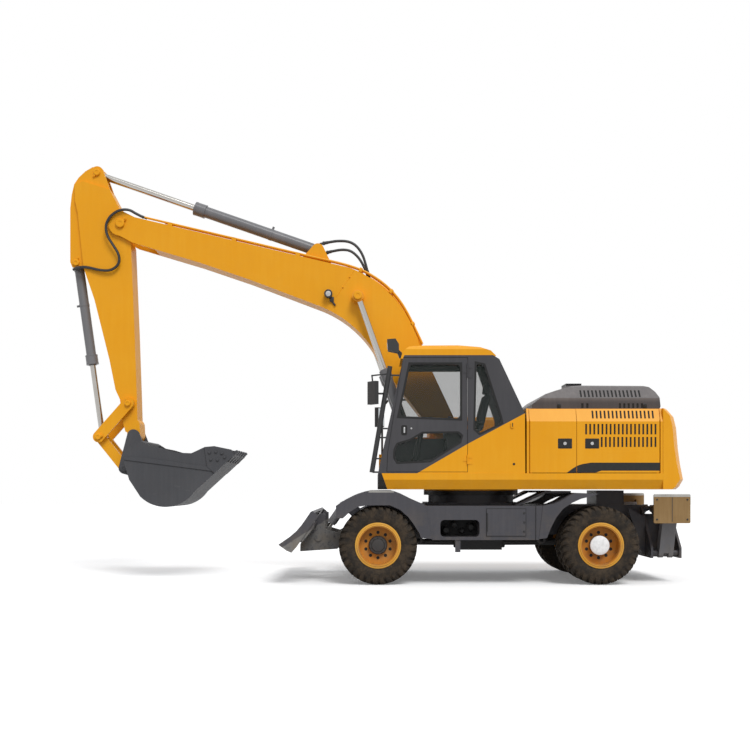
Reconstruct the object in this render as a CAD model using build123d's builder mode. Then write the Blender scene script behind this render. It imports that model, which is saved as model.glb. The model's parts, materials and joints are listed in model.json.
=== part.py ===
# Wheeled excavator, about 21 tonnes, standing on eight tyres with its blade and outriggers raised.
# Millimetres. X points ahead of the cab, Y to its left, Z up, and the ground is at Z = 0.
# In the side tables, u is the distance ahead of the swing axis and z the height above the ground.
import os
from math import atan2, cos, degrees, hypot, radians, sin

from build123d import *

os.makedirs("parts", exist_ok=True)

# Driving dimensions of the whole machine
SWING_X = -1388
BODY_WIDTH = 2500
WHEELBASE = 2910
FRONT_AXLE_U = 1320
TYRE_RADIUS = 515
TYRE_WIDTH = 275
TWIN_SPACING = 320
RING_TOP = 1170
DECK_BOTTOM = 1250
DECK_TOP = 1460
TAIL_RADIUS = 2900
BOOM_Y = -60
RUN_GAP = 0.5
SIDE_GAP = 6

HALF_WIDTH = BODY_WIDTH / 2
AXLE_Z = TYRE_RADIUS
REAR_AXLE_U = FRONT_AXLE_U - WHEELBASE
OUTER_TYRE_Y = HALF_WIDTH - 2.5 - TYRE_WIDTH / 2
INNER_TYRE_Y = OUTER_TYRE_Y - TWIN_SPACING

# Pins of the digging gear, as (u, z)
BOOM_FOOT = (270, 1950)
ARM_PIVOT = (4945, 4991)
LIFT_BASE = (720, 1500)
LIFT_EYE = (1598, 3949)
CROWD_BASE = (2169, 4650)
CROWD_EYE = (5296, 5735)
TIP_BASE = (5590, 4455)
TIP_EYE = (5246, 1986)
ROCKER_PIN = (4831, 2457)
BUCKET_PIN = (4763, 2005)
LINK_PIN = (4893, 1545)


def side_plane(y, ahead=SWING_X):
    return Plane(origin=(ahead, y, 0), x_dir=(1, 0, 0), z_dir=(0, -1, 0))


def slab(points, y_high, thick, mode=Mode.ADD, ahead=SWING_X):
    """Plate of the given side outline, from y_high towards the right."""
    with BuildSketch(side_plane(y_high, ahead)) as outline:
        with BuildLine():
            Polyline(*points, close=True)
        make_face()
    extrude(outline.sketch, amount=thick, mode=mode)


def bar(rounds, y_high, thick, mode=Mode.ADD, ahead=SWING_X):
    """Plate drawn round circles given as (u, z, radius)."""
    with BuildSketch(side_plane(y_high, ahead)) as outline:
        for u, z, radius in rounds:
            with Locations((u, z)):
                Circle(radius)
        if len(rounds) > 1:
            make_hull()
    extrude(outline.sketch, amount=thick, mode=mode)


def pin(at, radius, y_high, length, mode=Mode.ADD, ahead=SWING_X):
    """Round pin or bore across the machine."""
    bar([(at[0], at[1], radius)], y_high, length, mode, ahead)


def block(u_low, u_high, y_low, y_high, z_low, z_high, mode=Mode.ADD):
    """Box between stated faces."""
    centre = (SWING_X + (u_low + u_high) / 2, (y_low + y_high) / 2, (z_low + z_high) / 2)
    with Locations(centre):
        Box(u_high - u_low, y_high - y_low, z_high - z_low, mode=mode)


def along(start, end, y, first, last, outer, inner=0, mode=Mode.ADD):
    """Round bar or tube on the line start to end, between two distances from start."""
    length = hypot(end[0] - start[0], end[1] - start[1])
    direction = Vector((end[0] - start[0]) / length, 0, (end[1] - start[1]) / length)
    origin = Vector(SWING_X + start[0], y, start[1]) + direction * first
    with BuildSketch(Plane(origin=origin, z_dir=direction)) as ring:
        Circle(outer)
        if inner:
            Circle(inner, mode=Mode.SUBTRACT)
    extrude(ring.sketch, amount=last - first, mode=mode)


def save(node, name):
    node.part.label = name
    export_step(node.part, f"parts/{name}.step")


# Ground gear
# Chassis: a box beam with the pedestal of the swing ring, cross members for the blade at the
# front and for the outriggers at the rear, and spring pads over the two axles.
BEAM_HALF = 350
BOX_TOP = 1035
BEAM_TOP = BOX_TOP + 0.3
BEAM_BOTTOM = 620
AXLE_SEAT = 700
RING_RADIUS = 600
RING_PLATE = 30
FRONT_END_U = FRONT_AXLE_U + 330
BLADE_PIVOT = (1770, 620)
BLADE_CYL_BASE = (1790, 1040)
BLADE_CYL_EYE = (2030, 690)
BLADE_CYL_Y = 290
BLADE_EYE_WIDTH = 120
BLADE_ARM_Y = 500
BLADE_ARM_THICK = 80
LEG_BACK = 945
LEG_U = REAR_AXLE_U - LEG_BACK
LEG_WIDE = 190
LEG_HINGE = (825, 400)
LEG_CYL_BASE = (220, 980)
LEG_CYL_EYE = (925, 720)
CROSS_PLATE = 30
CROSS_HALF = 205
CROSS_FRONT_U = LEG_U + CROSS_HALF
CROSS_REAR_U = LEG_U - CROSS_HALF
STAY_Y = 590
STAY_SIDE = [(CROSS_FRONT_U - 1, 872), (REAR_AXLE_U - 514, 996), (REAR_AXLE_U - 522, 930),
             (REAR_AXLE_U - 610, 700), (REAR_AXLE_U - 610, 500), (CROSS_FRONT_U - 1, 331)]
VALVE_TOWER = (REAR_AXLE_U - 510, REAR_AXLE_U - 130)
TOWER_TOP = 1232
# the beam is shallower over the axles: where its underside starts and ends to rise
RISE_NEAR = 320
RISE_FAR = 420
PLATE_TOP = 1030


def cross_section(u, outlines, thick, mode=Mode.ADD):
    """Plate across the machine: outlines in (y, z), from u towards the rear."""
    with BuildSketch(Plane(origin=(SWING_X + u, 0, 0), x_dir=(0, -1, 0), z_dir=(-1, 0, 0))) as face:
        for kind, values in outlines:
            if kind == "line":
                with BuildLine():
                    Polyline(*[(-y, z) for y, z in values], close=True)
                make_face()
            elif kind == "hull":
                with BuildSketch(mode=Mode.PRIVATE) as rounds:
                    for y, z, radius in values:
                        with Locations((-y, z)):
                            Circle(radius)
                    make_hull()
                add(rounds.sketch)
            else:
                with Locations((-values[0], values[1])):
                    Circle(values[2])
    extrude(face.sketch, amount=thick, mode=mode)


with BuildPart() as chassis:
    slab([(FRONT_END_U, AXLE_SEAT), (FRONT_END_U, 900), (FRONT_END_U - 200, BEAM_TOP), (CROSS_FRONT_U, BEAM_TOP),
          (CROSS_FRONT_U, AXLE_SEAT), (REAR_AXLE_U + RISE_NEAR + 20, AXLE_SEAT),
          (REAR_AXLE_U + RISE_FAR + 20, BEAM_BOTTOM), (FRONT_AXLE_U - RISE_FAR, BEAM_BOTTOM),
          (FRONT_AXLE_U - RISE_NEAR, AXLE_SEAT)], BEAM_HALF, 2 * BEAM_HALF)
    block(-660, 660, -560, 560, BEAM_TOP, BEAM_TOP + RING_PLATE)
    with BuildSketch(Plane.XY.offset(BEAM_TOP)) as pedestal:
        with Locations((SWING_X, 0)):
            Circle(RING_RADIUS)
    extrude(pedestal.sketch, amount=RING_TOP - RUN_GAP - BEAM_TOP)
    block(FRONT_END_U - 90, FRONT_END_U, -440, 440, 560, 900)
    for side in (1, -1):
        lug_y = side * (BLADE_ARM_Y - BLADE_ARM_THICK / 2 - SIDE_GAP)
        lug_high = max(lug_y, lug_y - side * 40)
        bar([(*BLADE_PIVOT, 75), (FRONT_END_U - 40, 640, 75), (FRONT_END_U - 40, 820, 60)], lug_high, 40)
        pin_far = side * (BLADE_ARM_Y + BLADE_ARM_THICK / 2 + SIDE_GAP + 12)
        pin(BLADE_PIVOT, 35, max(lug_y, pin_far), abs(pin_far - lug_y))
        for shift in (-BLADE_EYE_WIDTH / 2 - SIDE_GAP, BLADE_EYE_WIDTH / 2 + SIDE_GAP + 20):
            bar([(*BLADE_CYL_BASE, 48), (FRONT_END_U - 45, 870, 45), (FRONT_END_U - 45, 960, 30)],
                side * BLADE_CYL_Y + shift, 20)
        pin(BLADE_CYL_BASE, 25, side * BLADE_CYL_Y + BLADE_EYE_WIDTH / 2 + SIDE_GAP + 1,
            BLADE_EYE_WIDTH + 2 * SIDE_GAP + 2)
    block(*VALVE_TOWER, -BEAM_HALF + 20, BEAM_HALF - 20, BEAM_TOP - 1, TOWER_TOP)
    # outrigger cross member: two plates, a middle web, a bottom plate and stays towards the wheels
    plate = [(900, 470), (340, PLATE_TOP), (-340, PLATE_TOP), (-900, 470), (-900, 330), (900, 330)]
    for u in (CROSS_FRONT_U, CROSS_REAR_U + CROSS_PLATE):
        cross_section(u, [("line", plate)], CROSS_PLATE)
    block(CROSS_REAR_U, CROSS_FRONT_U, -110, 110, 330, 900)
    block(CROSS_REAR_U, CROSS_FRONT_U, -600, 600, 330, 360)
    for y in (STAY_Y, -STAY_Y + CROSS_PLATE):
        slab(STAY_SIDE, y, CROSS_PLATE)
    for side in (1, -1):
        for at, radius in ((LEG_HINGE, 35), (LEG_CYL_BASE, 28)):
            cross_section(CROSS_FRONT_U + 12, [("disc", (side * at[0], at[1], radius))], 2 * CROSS_HALF + 24)
save(chassis, "chassis_frame")

# Gearbox and propeller shafts, hung under the beam between the axles
with BuildPart() as driveline:
    block(-420, 180, -210, 210, 400, BEAM_BOTTOM - 40)
    block(-360, 120, -150, 150, BEAM_BOTTOM - 40, BEAM_BOTTOM)
    for start, end in (((180, 500), (FRONT_AXLE_U - 200, 505)), ((-420, 500), (REAR_AXLE_U + 200, 505))):
        along(start, end, 0, -20, hypot(end[0] - start[0], end[1] - start[1]), 45)
        along(start, end, 0, 0, 60, 80)
save(driveline, "driveline")

# Axles: a beam with the bowl of the differential, pads up to the chassis and ends for the hubs
HUB_FACE_Y = INNER_TYRE_Y - 145
KINGPIN_Y = HUB_FACE_Y - 45
KNUCKLE_RADIUS = 84
YOKE_Z = 155
YOKE_THICK = 35
YOKE_IN = 170
YOKE_OUT = 100
SPINDLE_RADIUS = 60
SPINDLE_END_Y = HUB_FACE_Y + 255
AXLES = (("axle_fixed", FRONT_AXLE_U, False), ("axle_steered", REAR_AXLE_U, True))


def across(u, rings, mode=Mode.ADD):
    """Round steps on a wheel's axis, each as (y low, y high, radius)."""
    for y_low, y_high, radius in rings:
        pin((u, AXLE_Z), radius, y_high, y_high - y_low, mode)


for name, u, steered in AXLES:
    with BuildPart() as axle:
        end_y = KINGPIN_Y - YOKE_OUT if steered else HUB_FACE_Y - 1
        across(u, [(-end_y, end_y, 88)])
        with Locations((SWING_X + u, 0, AXLE_Z)):
            Sphere(178)
        for side in (1, -1):
            low, high = sorted((side * 240, side * 320))
            block(u - 90, u + 90, low, high, AXLE_Z, AXLE_SEAT)
            if steered:
                low, high = sorted((side * (KINGPIN_Y - YOKE_IN), side * (KINGPIN_Y - YOKE_OUT)))
                block(u - 60, u + 60, low, high, AXLE_Z - YOKE_Z - YOKE_THICK, AXLE_Z + YOKE_Z + YOKE_THICK)
                for z in (AXLE_Z + YOKE_Z, AXLE_Z - YOKE_Z - YOKE_THICK):
                    with BuildSketch(Plane.XY.offset(z)) as yoke:
                        with Locations((SWING_X + u, side * KINGPIN_Y)):
                            Circle(60)
                        with Locations((SWING_X + u, side * (KINGPIN_Y - 80))):
                            Rectangle(120, 160)
                    extrude(yoke.sketch, amount=YOKE_THICK)
            else:
                low, high = sorted((side * (KINGPIN_Y - YOKE_IN), side * (HUB_FACE_Y - 1)))
                across(u, [(low, high, 140)])
                low, high = sorted((side * HUB_FACE_Y * 0.9, side * SPINDLE_END_Y))
                across(u, [(low, high, SPINDLE_RADIUS)])
    save(axle, name)

for side, hand in ((1, "left"), (-1, "right")):
    with BuildPart() as knuckle:
        with BuildSketch(Plane.XY.offset(AXLE_Z - YOKE_Z + RUN_GAP)) as post:
            with Locations((SWING_X + REAR_AXLE_U, side * KINGPIN_Y)):
                Circle(KNUCKLE_RADIUS)
            post_reach = HUB_FACE_Y - 1 - KINGPIN_Y
            with Locations((SWING_X + REAR_AXLE_U, side * (KINGPIN_Y + post_reach - KNUCKLE_RADIUS))):
                Rectangle(2 * KNUCKLE_RADIUS, 2 * KNUCKLE_RADIUS, mode=Mode.INTERSECT)
        extrude(post.sketch, amount=2 * YOKE_Z - 2 * RUN_GAP)
        low, high = sorted((side * (KINGPIN_Y + 5), side * (HUB_FACE_Y - 1)))
        across(REAR_AXLE_U, [(low, high, 138)])
        low, high = sorted((side * (KINGPIN_Y + 5), side * SPINDLE_END_Y))
        across(REAR_AXLE_U, [(low, high, SPINDLE_RADIUS)])
    save(knuckle, f"knuckle_{hand}")

# Twin wheels: two rims on one hub, with the disc set back from the outer rim's face
RIM_BED = 262
RIM_INSIDE = 248
FLANGE_RADIUS = 300
FLANGE_THICK = 13
HUB_RADIUS = 120
HUB_BACK_RADIUS = 145
RIM_HALF = TYRE_WIDTH / 2 - 15
DISC_BACK = 170
DISC_THICK = 18
# (distance from the tread's middle, radius) of half a tyre's section, from the bead outwards
TYRE_SECTION = ((104, RIM_BED), (108, 302), (137.5, 380), (130, 445), (116, 492), (84, 512), (0, 515))
WHEELS = (("front_left", FRONT_AXLE_U, 1), ("front_right", FRONT_AXLE_U, -1),
          ("rear_left", REAR_AXLE_U, 1), ("rear_right", REAR_AXLE_U, -1))


def turned(u, points, mode=Mode.ADD):
    """Solid of revolution on a wheel's axis: points as (y, radius)."""
    with BuildSketch(Plane(origin=(SWING_X + u, 0, AXLE_Z), x_dir=(0, 1, 0), z_dir=(1, 0, 0))) as section:
        with BuildLine():
            Polyline(*points, close=True)
        make_face()
    revolve(section.sketch, Axis((SWING_X + u, 0, AXLE_Z), (0, 1, 0)), mode=mode)


for name, u, side in WHEELS:
    rim_far = OUTER_TYRE_Y + RIM_HALF
    rim_near = INNER_TYRE_Y - RIM_HALF
    disc_y = rim_far - DISC_BACK
    with BuildPart() as rims:
        turned(u, [(side * rim_near, RIM_INSIDE), (side * rim_far, RIM_INSIDE),
                   (side * rim_far, RIM_BED - 0.3), (side * rim_near, RIM_BED - 0.3)])
        for y in (rim_near, INNER_TYRE_Y + RIM_HALF - FLANGE_THICK, OUTER_TYRE_Y - RIM_HALF,
                  rim_far - FLANGE_THICK):
            turned(u, [(side * y, RIM_INSIDE), (side * (y + FLANGE_THICK), RIM_INSIDE),
                       (side * (y + FLANGE_THICK), FLANGE_RADIUS), (side * y, FLANGE_RADIUS)])
        bore = SPINDLE_RADIUS + RUN_GAP
        turned(u, [(side * HUB_FACE_Y, bore), (side * HUB_FACE_Y, HUB_BACK_RADIUS),
                   (side * (HUB_FACE_Y + 155), HUB_BACK_RADIUS), (side * (HUB_FACE_Y + 175), HUB_RADIUS + 40),
                   (side * disc_y, HUB_RADIUS + 40), (side * disc_y, RIM_INSIDE + 1),
                   (side * (disc_y + DISC_THICK), RIM_INSIDE + 1), (side * (disc_y + DISC_THICK), HUB_RADIUS),
                   (side * (disc_y + 60), HUB_RADIUS), (side * (disc_y + 75), HUB_RADIUS - 20),
                   (side * (disc_y + 75), 0), (side * (SPINDLE_END_Y + 5), 0), (side * (SPINDLE_END_Y + 5), bore)])
    save(rims, f"rims_{name}")
    with BuildPart() as tyres:
        for middle in (INNER_TYRE_Y, OUTER_TYRE_Y):
            half = [(side * middle + y, radius) for y, radius in TYRE_SECTION]
            other = [(side * middle - y, radius) for y, radius in reversed(TYRE_SECTION[:-1])]
            turned(u, half + other)
    save(tyres, f"tyres_{name}")

# Side boxes between the wheels, with a foot hole on the outside
BOX_FRONT = ((FRONT_AXLE_U - 616, BOX_TOP), (FRONT_AXLE_U - 708, 589))
BOX_REAR = ((REAR_AXLE_U + 813, 589), (REAR_AXLE_U + 761, BOX_TOP))
FOOT_HOLE = (-4, 507, 629, 852)
BOX_DOOR = (-607, -95, 640, 1000)
HANGER_U = (244, 310)
with BuildPart() as boxes:
    for side in (1, -1):
        low, high = sorted((side * (BEAM_HALF + 0.3), side * (HALF_WIDTH - 8)))
        slab([*BOX_FRONT, *BOX_REAR], high, high - low)
        u_low, u_high, z_low, z_high = FOOT_HOLE
        with BuildSketch(side_plane(side * HALF_WIDTH)) as hole:
            with Locations(((u_low + u_high) / 2, (z_low + z_high) / 2)):
                RectangleRounded(u_high - u_low, z_high - z_low, 55)
        extrude(hole.sketch, amount=side * 320, mode=Mode.SUBTRACT)
        u_low, u_high, z_low, z_high = BOX_DOOR
        low, high = sorted((side * (HALF_WIDTH - 9), side * HALF_WIDTH))
        block(u_low, u_high, low, high, z_low, z_high)
        low, high = sorted((side * (HALF_WIDTH - 70), side * (HALF_WIDTH - 20)))
        block(*HANGER_U, low, high, 430, BOX_REAR[0][1] + 1)
save(boxes, "side_boxes")

# Fenders: a deep one round each front wheel, a quarter one ahead of each steered wheel,
# and a sloping cover from the beam's top over the steered axle; outlines as (ahead of the axle, z)
FENDER_IN_Y = INNER_TYRE_Y - 125
FRONT_FENDER = [(550, 1035), (419, 1120), (301, 1179), (197, 1212), (105, 1232), (-197, 1232), (-288, 1199),
                (-419, 1133), (-524, 1087), (-603, 1055), (-615.4, 1035.5), (-704.6, 603), (-564, 616),
                (-537, 681), (-472, 786), (-393, 891), (-288, 983), (-157, 1042), (131, 1042), (262, 1022),
                (367, 956), (459, 871), (524, 871), (544, 904)]
REAR_FENDER = [(760.5, 1035.5), (616, 1061), (525, 1100), (420, 1166), (341, 1205), (27, 1192), (131, 1159),
               (263, 1127), (381, 1074), (498, 996), (590, 878), (656, 747), (708, 616), (810.9, 602)]
REAR_COVER = [(1093, BOX_TOP + 0.5), (690, 1228), (350, 1228), (350, 1198), (685, 1198), (1030, BOX_TOP + 0.5)]
COVER_Y = (INNER_TYRE_Y - 220, INNER_TYRE_Y + 210)


def from_axle(outline, axle_u):
    return [(axle_u + ahead, z) for ahead, z in outline]


with BuildPart() as fenders:
    for side in (1, -1):
        for outline, axle_u, y_in, y_out in ((FRONT_FENDER, FRONT_AXLE_U, FENDER_IN_Y, HALF_WIDTH),
                                             (REAR_FENDER, REAR_AXLE_U, FENDER_IN_Y, HALF_WIDTH),
                                             (REAR_COVER, REAR_AXLE_U, *COVER_Y)):
            low, high = sorted((side * y_in, side * y_out))
            slab(from_axle(outline, axle_u), high, high - low)
save(fenders, "fenders")

# Levelling blade, held up ahead of the fixed axle
BLADE_FACE = [(2619, 529), (2475, 628), (2383, 707), (2317, 785), (2252, 877), (2199, 956)]
BLADE_BACK = [(2173, 969), (2145, 945), (2205, 850), (2285, 745), (2350, 665), (2440, 580), (2570, 490)]
BLADE_END = [(2619, 529), (2475, 628), (2383, 707), (2317, 785), (2252, 877), (2199, 956), (2173, 969),
             (2094, 903), (2212, 746), (2383, 497), (2449, 424), (2514, 451)]
ARM_BOSS = (2133, 589)
with BuildPart() as blade:
    slab(BLADE_FACE + BLADE_BACK, HALF_WIDTH - 1, BODY_WIDTH - 2)
    bar([(2190, 780, 40), (2330, 600, 40)], HALF_WIDTH - 20, BODY_WIDTH - 40)
    slab([(2190, 780), (2330, 600), (2420, 620), (2230, 860)], HALF_WIDTH - 20, BODY_WIDTH - 40)
    for y in (HALF_WIDTH, -HALF_WIDTH + 28):
        slab(BLADE_END, y, 28)
    for side in (1, -1):
        high = side * BLADE_ARM_Y + BLADE_ARM_THICK / 2
        bar([(*BLADE_PIVOT, 78), (1873, 545, 100)], high, BLADE_ARM_THICK)
        slab([(1770, 698), (1873, 655), (2039, 703), (2040, 915), (2120, 915), (2240, 760), (2383, 497),
              (2385, 399), (1873, 433)], high, BLADE_ARM_THICK)
        pin(ARM_BOSS, 52, high + 14, BLADE_ARM_THICK + 28)
        pin(BLADE_PIVOT, 35 + RUN_GAP, high + 1, BLADE_ARM_THICK + 2, Mode.SUBTRACT)
        for shift in (-42, 62):
            bar([(*BLADE_CYL_EYE, 45), (2200, 740, 40), (2260, 660, 40)], side * BLADE_CYL_Y + shift, 20)
save(blade, "blade")


# Cylinders: a barrel with its base eye and gland, and a rod with its own eye
def barrel(base, end, y, reach, outer, bore, eye, eye_width, pin_radius, gland=0):
    along(base, end, y, 0, eye + 20, eye_width / 2 - 1)
    along(base, end, y, eye + 8, reach, outer)
    if gland:
        along(base, end, y, reach - 2 * outer, reach, gland)
    pin(base, eye, y + eye_width / 2, eye_width)
    along(base, end, y, eye + 15, reach + 1, bore + RUN_GAP, mode=Mode.SUBTRACT)
    pin(base, pin_radius + RUN_GAP, y + eye_width, 2 * eye_width, Mode.SUBTRACT)


def rod(base, end, y, inner, radius, eye, eye_width):
    along(base, end, y, inner, hypot(end[0] - base[0], end[1] - base[1]), radius)
    pin(end, eye, y + eye_width / 2, eye_width)


with BuildPart() as blade_barrels:
    for side in (1, -1):
        barrel(BLADE_CYL_BASE, BLADE_CYL_EYE, side * BLADE_CYL_Y, 320, 60, 28, 46, BLADE_EYE_WIDTH, 25)
save(blade_barrels, "blade_cylinder_barrels")
with BuildPart() as blade_rods:
    for side in (1, -1):
        rod(BLADE_CYL_BASE, BLADE_CYL_EYE, side * BLADE_CYL_Y, 120, 28, 42, 70)
save(blade_rods, "blade_cylinder_rods")

# Outriggers: a leg on a hinge along the machine, its foot plate, and a cylinder from the middle
PAD_OUT_Y = 1195
PAD_THICK = 30
FOOT_LUG = 25
PAD_Z = (806, 1186)
PAD_U = (LEG_U - 234, LEG_U + 244)
LEG_EYE_RADIUS = 40
LEG_COVER = [(881, 399), (893, 394), (1067, 837), (1056, 842)]


def cross_line(start, end, side, first, last, radius, mode=Mode.ADD):
    """Round bar in the plane across the machine at the leg, start and end as (y, z)."""
    length = hypot(end[0] - start[0], end[1] - start[1])
    direction = Vector(0, side * (end[0] - start[0]) / length, (end[1] - start[1]) / length)
    origin = Vector(SWING_X + LEG_U, side * start[0], start[1]) + direction * first
    with BuildSketch(Plane(origin=origin, x_dir=(1, 0, 0), z_dir=direction)) as disc:
        Circle(radius)
    extrude(disc.sketch, amount=last - first, mode=mode)


for side, hand in ((1, "left"), (-1, "right")):
    half = LEG_WIDE / 2
    with BuildPart() as leg:
        y, z = side * LEG_HINGE[0], LEG_HINGE[1]
        for u in (LEG_U + half, LEG_U - half + 60):
            cross_section(u, [("hull", [(y, z, 68), (side * 1010, 860, 62)]),
                              ("hull", [(side * 1010, 860, 62), (side * 1100, 996, 60)])], 60)
        cross_section(LEG_U + half, [("hull", [(side * 1030, 850, 50), (side * 1105, 996, 60)])], LEG_WIDE)
        cross_section(LEG_U + half, [("line", [(side * a, b) for a, b in LEG_COVER])], LEG_WIDE)
        cross_section(LEG_U + half + 1, [("disc", (y, z, 35 + RUN_GAP))], LEG_WIDE + 2, Mode.SUBTRACT)
    save(leg, f"outrigger_leg_{hand}")
    with BuildPart() as foot:
        low, high = sorted((side * (PAD_OUT_Y - PAD_THICK), side * PAD_OUT_Y))
        block(PAD_U[0], PAD_U[1], low, high, *PAD_Z)
        chamfer(foot.edges().filter_by(Axis.Y), 12)
        low, high = sorted((side * 1090, side * (PAD_OUT_Y - PAD_THICK)))
        for rear in (LEG_U + half + 0.3, LEG_U - half - FOOT_LUG - 0.3):
            block(rear, rear + FOOT_LUG, low, high, 900, 1090)
    save(foot, f"outrigger_foot_{hand}")
    with BuildPart() as leg_barrel:
        cross_line(LEG_CYL_BASE, LEG_CYL_EYE, side, 0, 650, 50)
        cross_section(LEG_U + 38, [("disc", (side * LEG_CYL_BASE[0], LEG_CYL_BASE[1], 50))], 76)
        cross_line(LEG_CYL_BASE, LEG_CYL_EYE, side, 60, 651, 27 + RUN_GAP, Mode.SUBTRACT)
        cross_section(LEG_U + 60, [("disc", (side * LEG_CYL_BASE[0], LEG_CYL_BASE[1], 28 + RUN_GAP))], 120,
                      Mode.SUBTRACT)
    save(leg_barrel, f"outrigger_barrel_{hand}")
    with BuildPart() as leg_rod:
        cross_line(LEG_CYL_BASE, LEG_CYL_EYE, side, 130, 751, 27)
        cross_section(LEG_U + 29, [("disc", (side * LEG_CYL_EYE[0], LEG_CYL_EYE[1], LEG_EYE_RADIUS))], 58)
    save(leg_rod, f"outrigger_rod_{hand}")

# Lashing eyes welded to the flanks of the chassis beam, one near each wheel
EYE_BORE = 25
EYE_Z = 545
with BuildPart() as lashing:
    for u in (FRONT_AXLE_U - 565, REAR_AXLE_U + 640):
        for side in (1, -1):
            low, high = sorted((side * (BEAM_HALF + 0.3), side * (BEAM_HALF + 30)))
            bar([(u, EYE_Z, 55), (u, EYE_Z + 155, 55)], high, high - low)
            pin((u, EYE_Z), EYE_BORE, high + 1, high - low + 2, Mode.SUBTRACT)
save(lashing, "lashing_eyes")

# Upper structure
# Deck: a platform with bevelled skirts, the boom's two webs and the collar on the swing ring
DECK_REAR_U = -2396
DECK_FRONT_U = 1320
SKIRT_Z = 1376
SKIRT_IN = 60
NOTCH_U = 790
WEB_IN = 222
WEB_THICK = 48
COLLAR_RADIUS = 665
LIFT_Y = 325
LIFT_EYE_WIDTH = 90
LIFT_LUG = 26
CAB_IN_Y = 345
NOTCH_HALF = CAB_IN_Y - BOOM_Y


with BuildPart() as deck:
    section = [(HALF_WIDTH, SKIRT_Z), (HALF_WIDTH, DECK_TOP), (-HALF_WIDTH, DECK_TOP), (-HALF_WIDTH, SKIRT_Z),
               (-HALF_WIDTH + SKIRT_IN, DECK_BOTTOM), (HALF_WIDTH - SKIRT_IN, DECK_BOTTOM)]
    cross_section(DECK_FRONT_U, [("line", section)], DECK_FRONT_U - DECK_REAR_U)
    block(NOTCH_U, DECK_FRONT_U + 1, BOOM_Y - NOTCH_HALF, BOOM_Y + NOTCH_HALF, DECK_BOTTOM - 1, DECK_TOP + 1,
          Mode.SUBTRACT)
    block(LIFT_BASE[0] - 100, NOTCH_U + 1, BOOM_Y + WEB_IN + WEB_THICK, CAB_IN_Y, DECK_BOTTOM + 50, DECK_TOP + 1,
          Mode.SUBTRACT)
    block(LIFT_BASE[0] - 100, NOTCH_U + 1, BOOM_Y - NOTCH_HALF, BOOM_Y - WEB_IN - WEB_THICK,
          DECK_BOTTOM + 50, DECK_TOP + 1, Mode.SUBTRACT)
    with BuildSketch(Plane.XY.offset(RING_TOP)) as collar:
        with Locations((SWING_X, 0)):
            Circle(COLLAR_RADIUS)
    extrude(collar.sketch, amount=DECK_BOTTOM - RING_TOP + 1)
    web = [(-590, DECK_TOP - 1), (-60, 1900), (60, 2050), (200, 2110), (340, 2110), (440, 2020), (560, 1640),
           (650, 1530), (790, 1455), (790, DECK_BOTTOM), (-590, DECK_BOTTOM)]
    for side in (1, -1):
        low, high = sorted((BOOM_Y + side * WEB_IN, BOOM_Y + side * (WEB_IN + WEB_THICK)))
        slab(web, high, high - low)
        pin(LIFT_BASE, 75, high, high - low)
        lug_low, lug_high = sorted((BOOM_Y + side * (LIFT_Y + LIFT_EYE_WIDTH / 2 + SIDE_GAP),
                                    BOOM_Y + side * (LIFT_Y + LIFT_EYE_WIDTH / 2 + SIDE_GAP + LIFT_LUG)))
        bar([(*LIFT_BASE, 75), (LIFT_BASE[0] - 60, DECK_BOTTOM + 75, 70),
             (LIFT_BASE[0] - 10, DECK_BOTTOM + 75, 70)], lug_high, lug_high - lug_low)
        pin_far = LIFT_Y + LIFT_EYE_WIDTH / 2 + SIDE_GAP + 1
        low, high = sorted((BOOM_Y + side * (WEB_IN + 1), BOOM_Y + side * pin_far))
        pin(LIFT_BASE, 40, high, high - low)
    pin(BOOM_FOOT, 50, BOOM_Y + WEB_IN + WEB_THICK + 14, 2 * (WEB_IN + WEB_THICK + 14))
save(deck, "deck")

# Counterweight: a turned tail about the swing axis, cut to the machine's width
TAIL_TOP = 2310
TAIL_SECTION = [(2000, DECK_BOTTOM), (TAIL_RADIUS - 95, DECK_BOTTOM), (TAIL_RADIUS - 53, 1284),
                (TAIL_RADIUS, 1381), (TAIL_RADIUS - 40, 1590), (TAIL_RADIUS - 67, 1798), (TAIL_RADIUS - 90, 2076),
                (TAIL_RADIUS - 123, 2215), (TAIL_RADIUS - 200, TAIL_TOP), (2000, TAIL_TOP)]
with BuildPart() as counterweight:
    with BuildSketch(Plane(origin=(SWING_X, 0, 0), x_dir=(1, 0, 0), z_dir=(0, -1, 0))) as section:
        with BuildLine():
            Polyline(*TAIL_SECTION, close=True)
        make_face()
    revolve(section.sketch, Axis((SWING_X, 0, 0), (0, 0, 1)), 360)
    with Locations((SWING_X + DECK_REAR_U - 400.3, 0, (DECK_BOTTOM + TAIL_TOP) / 2)):
        Box(800, BODY_WIDTH, TAIL_TOP - DECK_BOTTOM, mode=Mode.INTERSECT)
save(counterweight, "counterweight")

# Cab: a hollow shell with its windows and doorway cut, a roof cap and a hinged door
CAB_OUT_Y = HALF_WIDTH - 5
CAB_WALL = 50
CAB_BASE = DECK_TOP + 0.3
CAB_TOP = 3000
CAB_SIDE = [(1320, CAB_BASE), (1262, 1730), (990, 2970), (975, CAB_TOP), (-180, CAB_TOP), (-262, 2950),
            (-596, 2240), (-600, CAB_BASE)]
CAB_INSIDE = [(1260, CAB_BASE + 60), (1210, 1735), (942, CAB_TOP - 50), (-205, CAB_TOP - 50), (-545, 2235),
              (-548, CAB_BASE + 60)]
DOOR_SIDE = [(1202, 1480), (154, 1480), (154, 2965), (990, 2965), (1190, 1735)]
DOOR_GAP = 6
UPPER_LIGHT = [(914, 2896), (232, 2896), (232, 2156), (1064, 2188)]
LOWER_LIGHT = [(1071, 1848), (901, 1900), (743, 1992), (272, 1998), (219, 1952), (245, 1861), (639, 1612),
               (1071, 1592), (1115, 1664), (1110, 1769)]
REAR_LIGHT = [(49, 2909), (-69, 2883), (-292, 2188), (-305, 2110), (-4, 1966), (68, 2031)]
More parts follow.
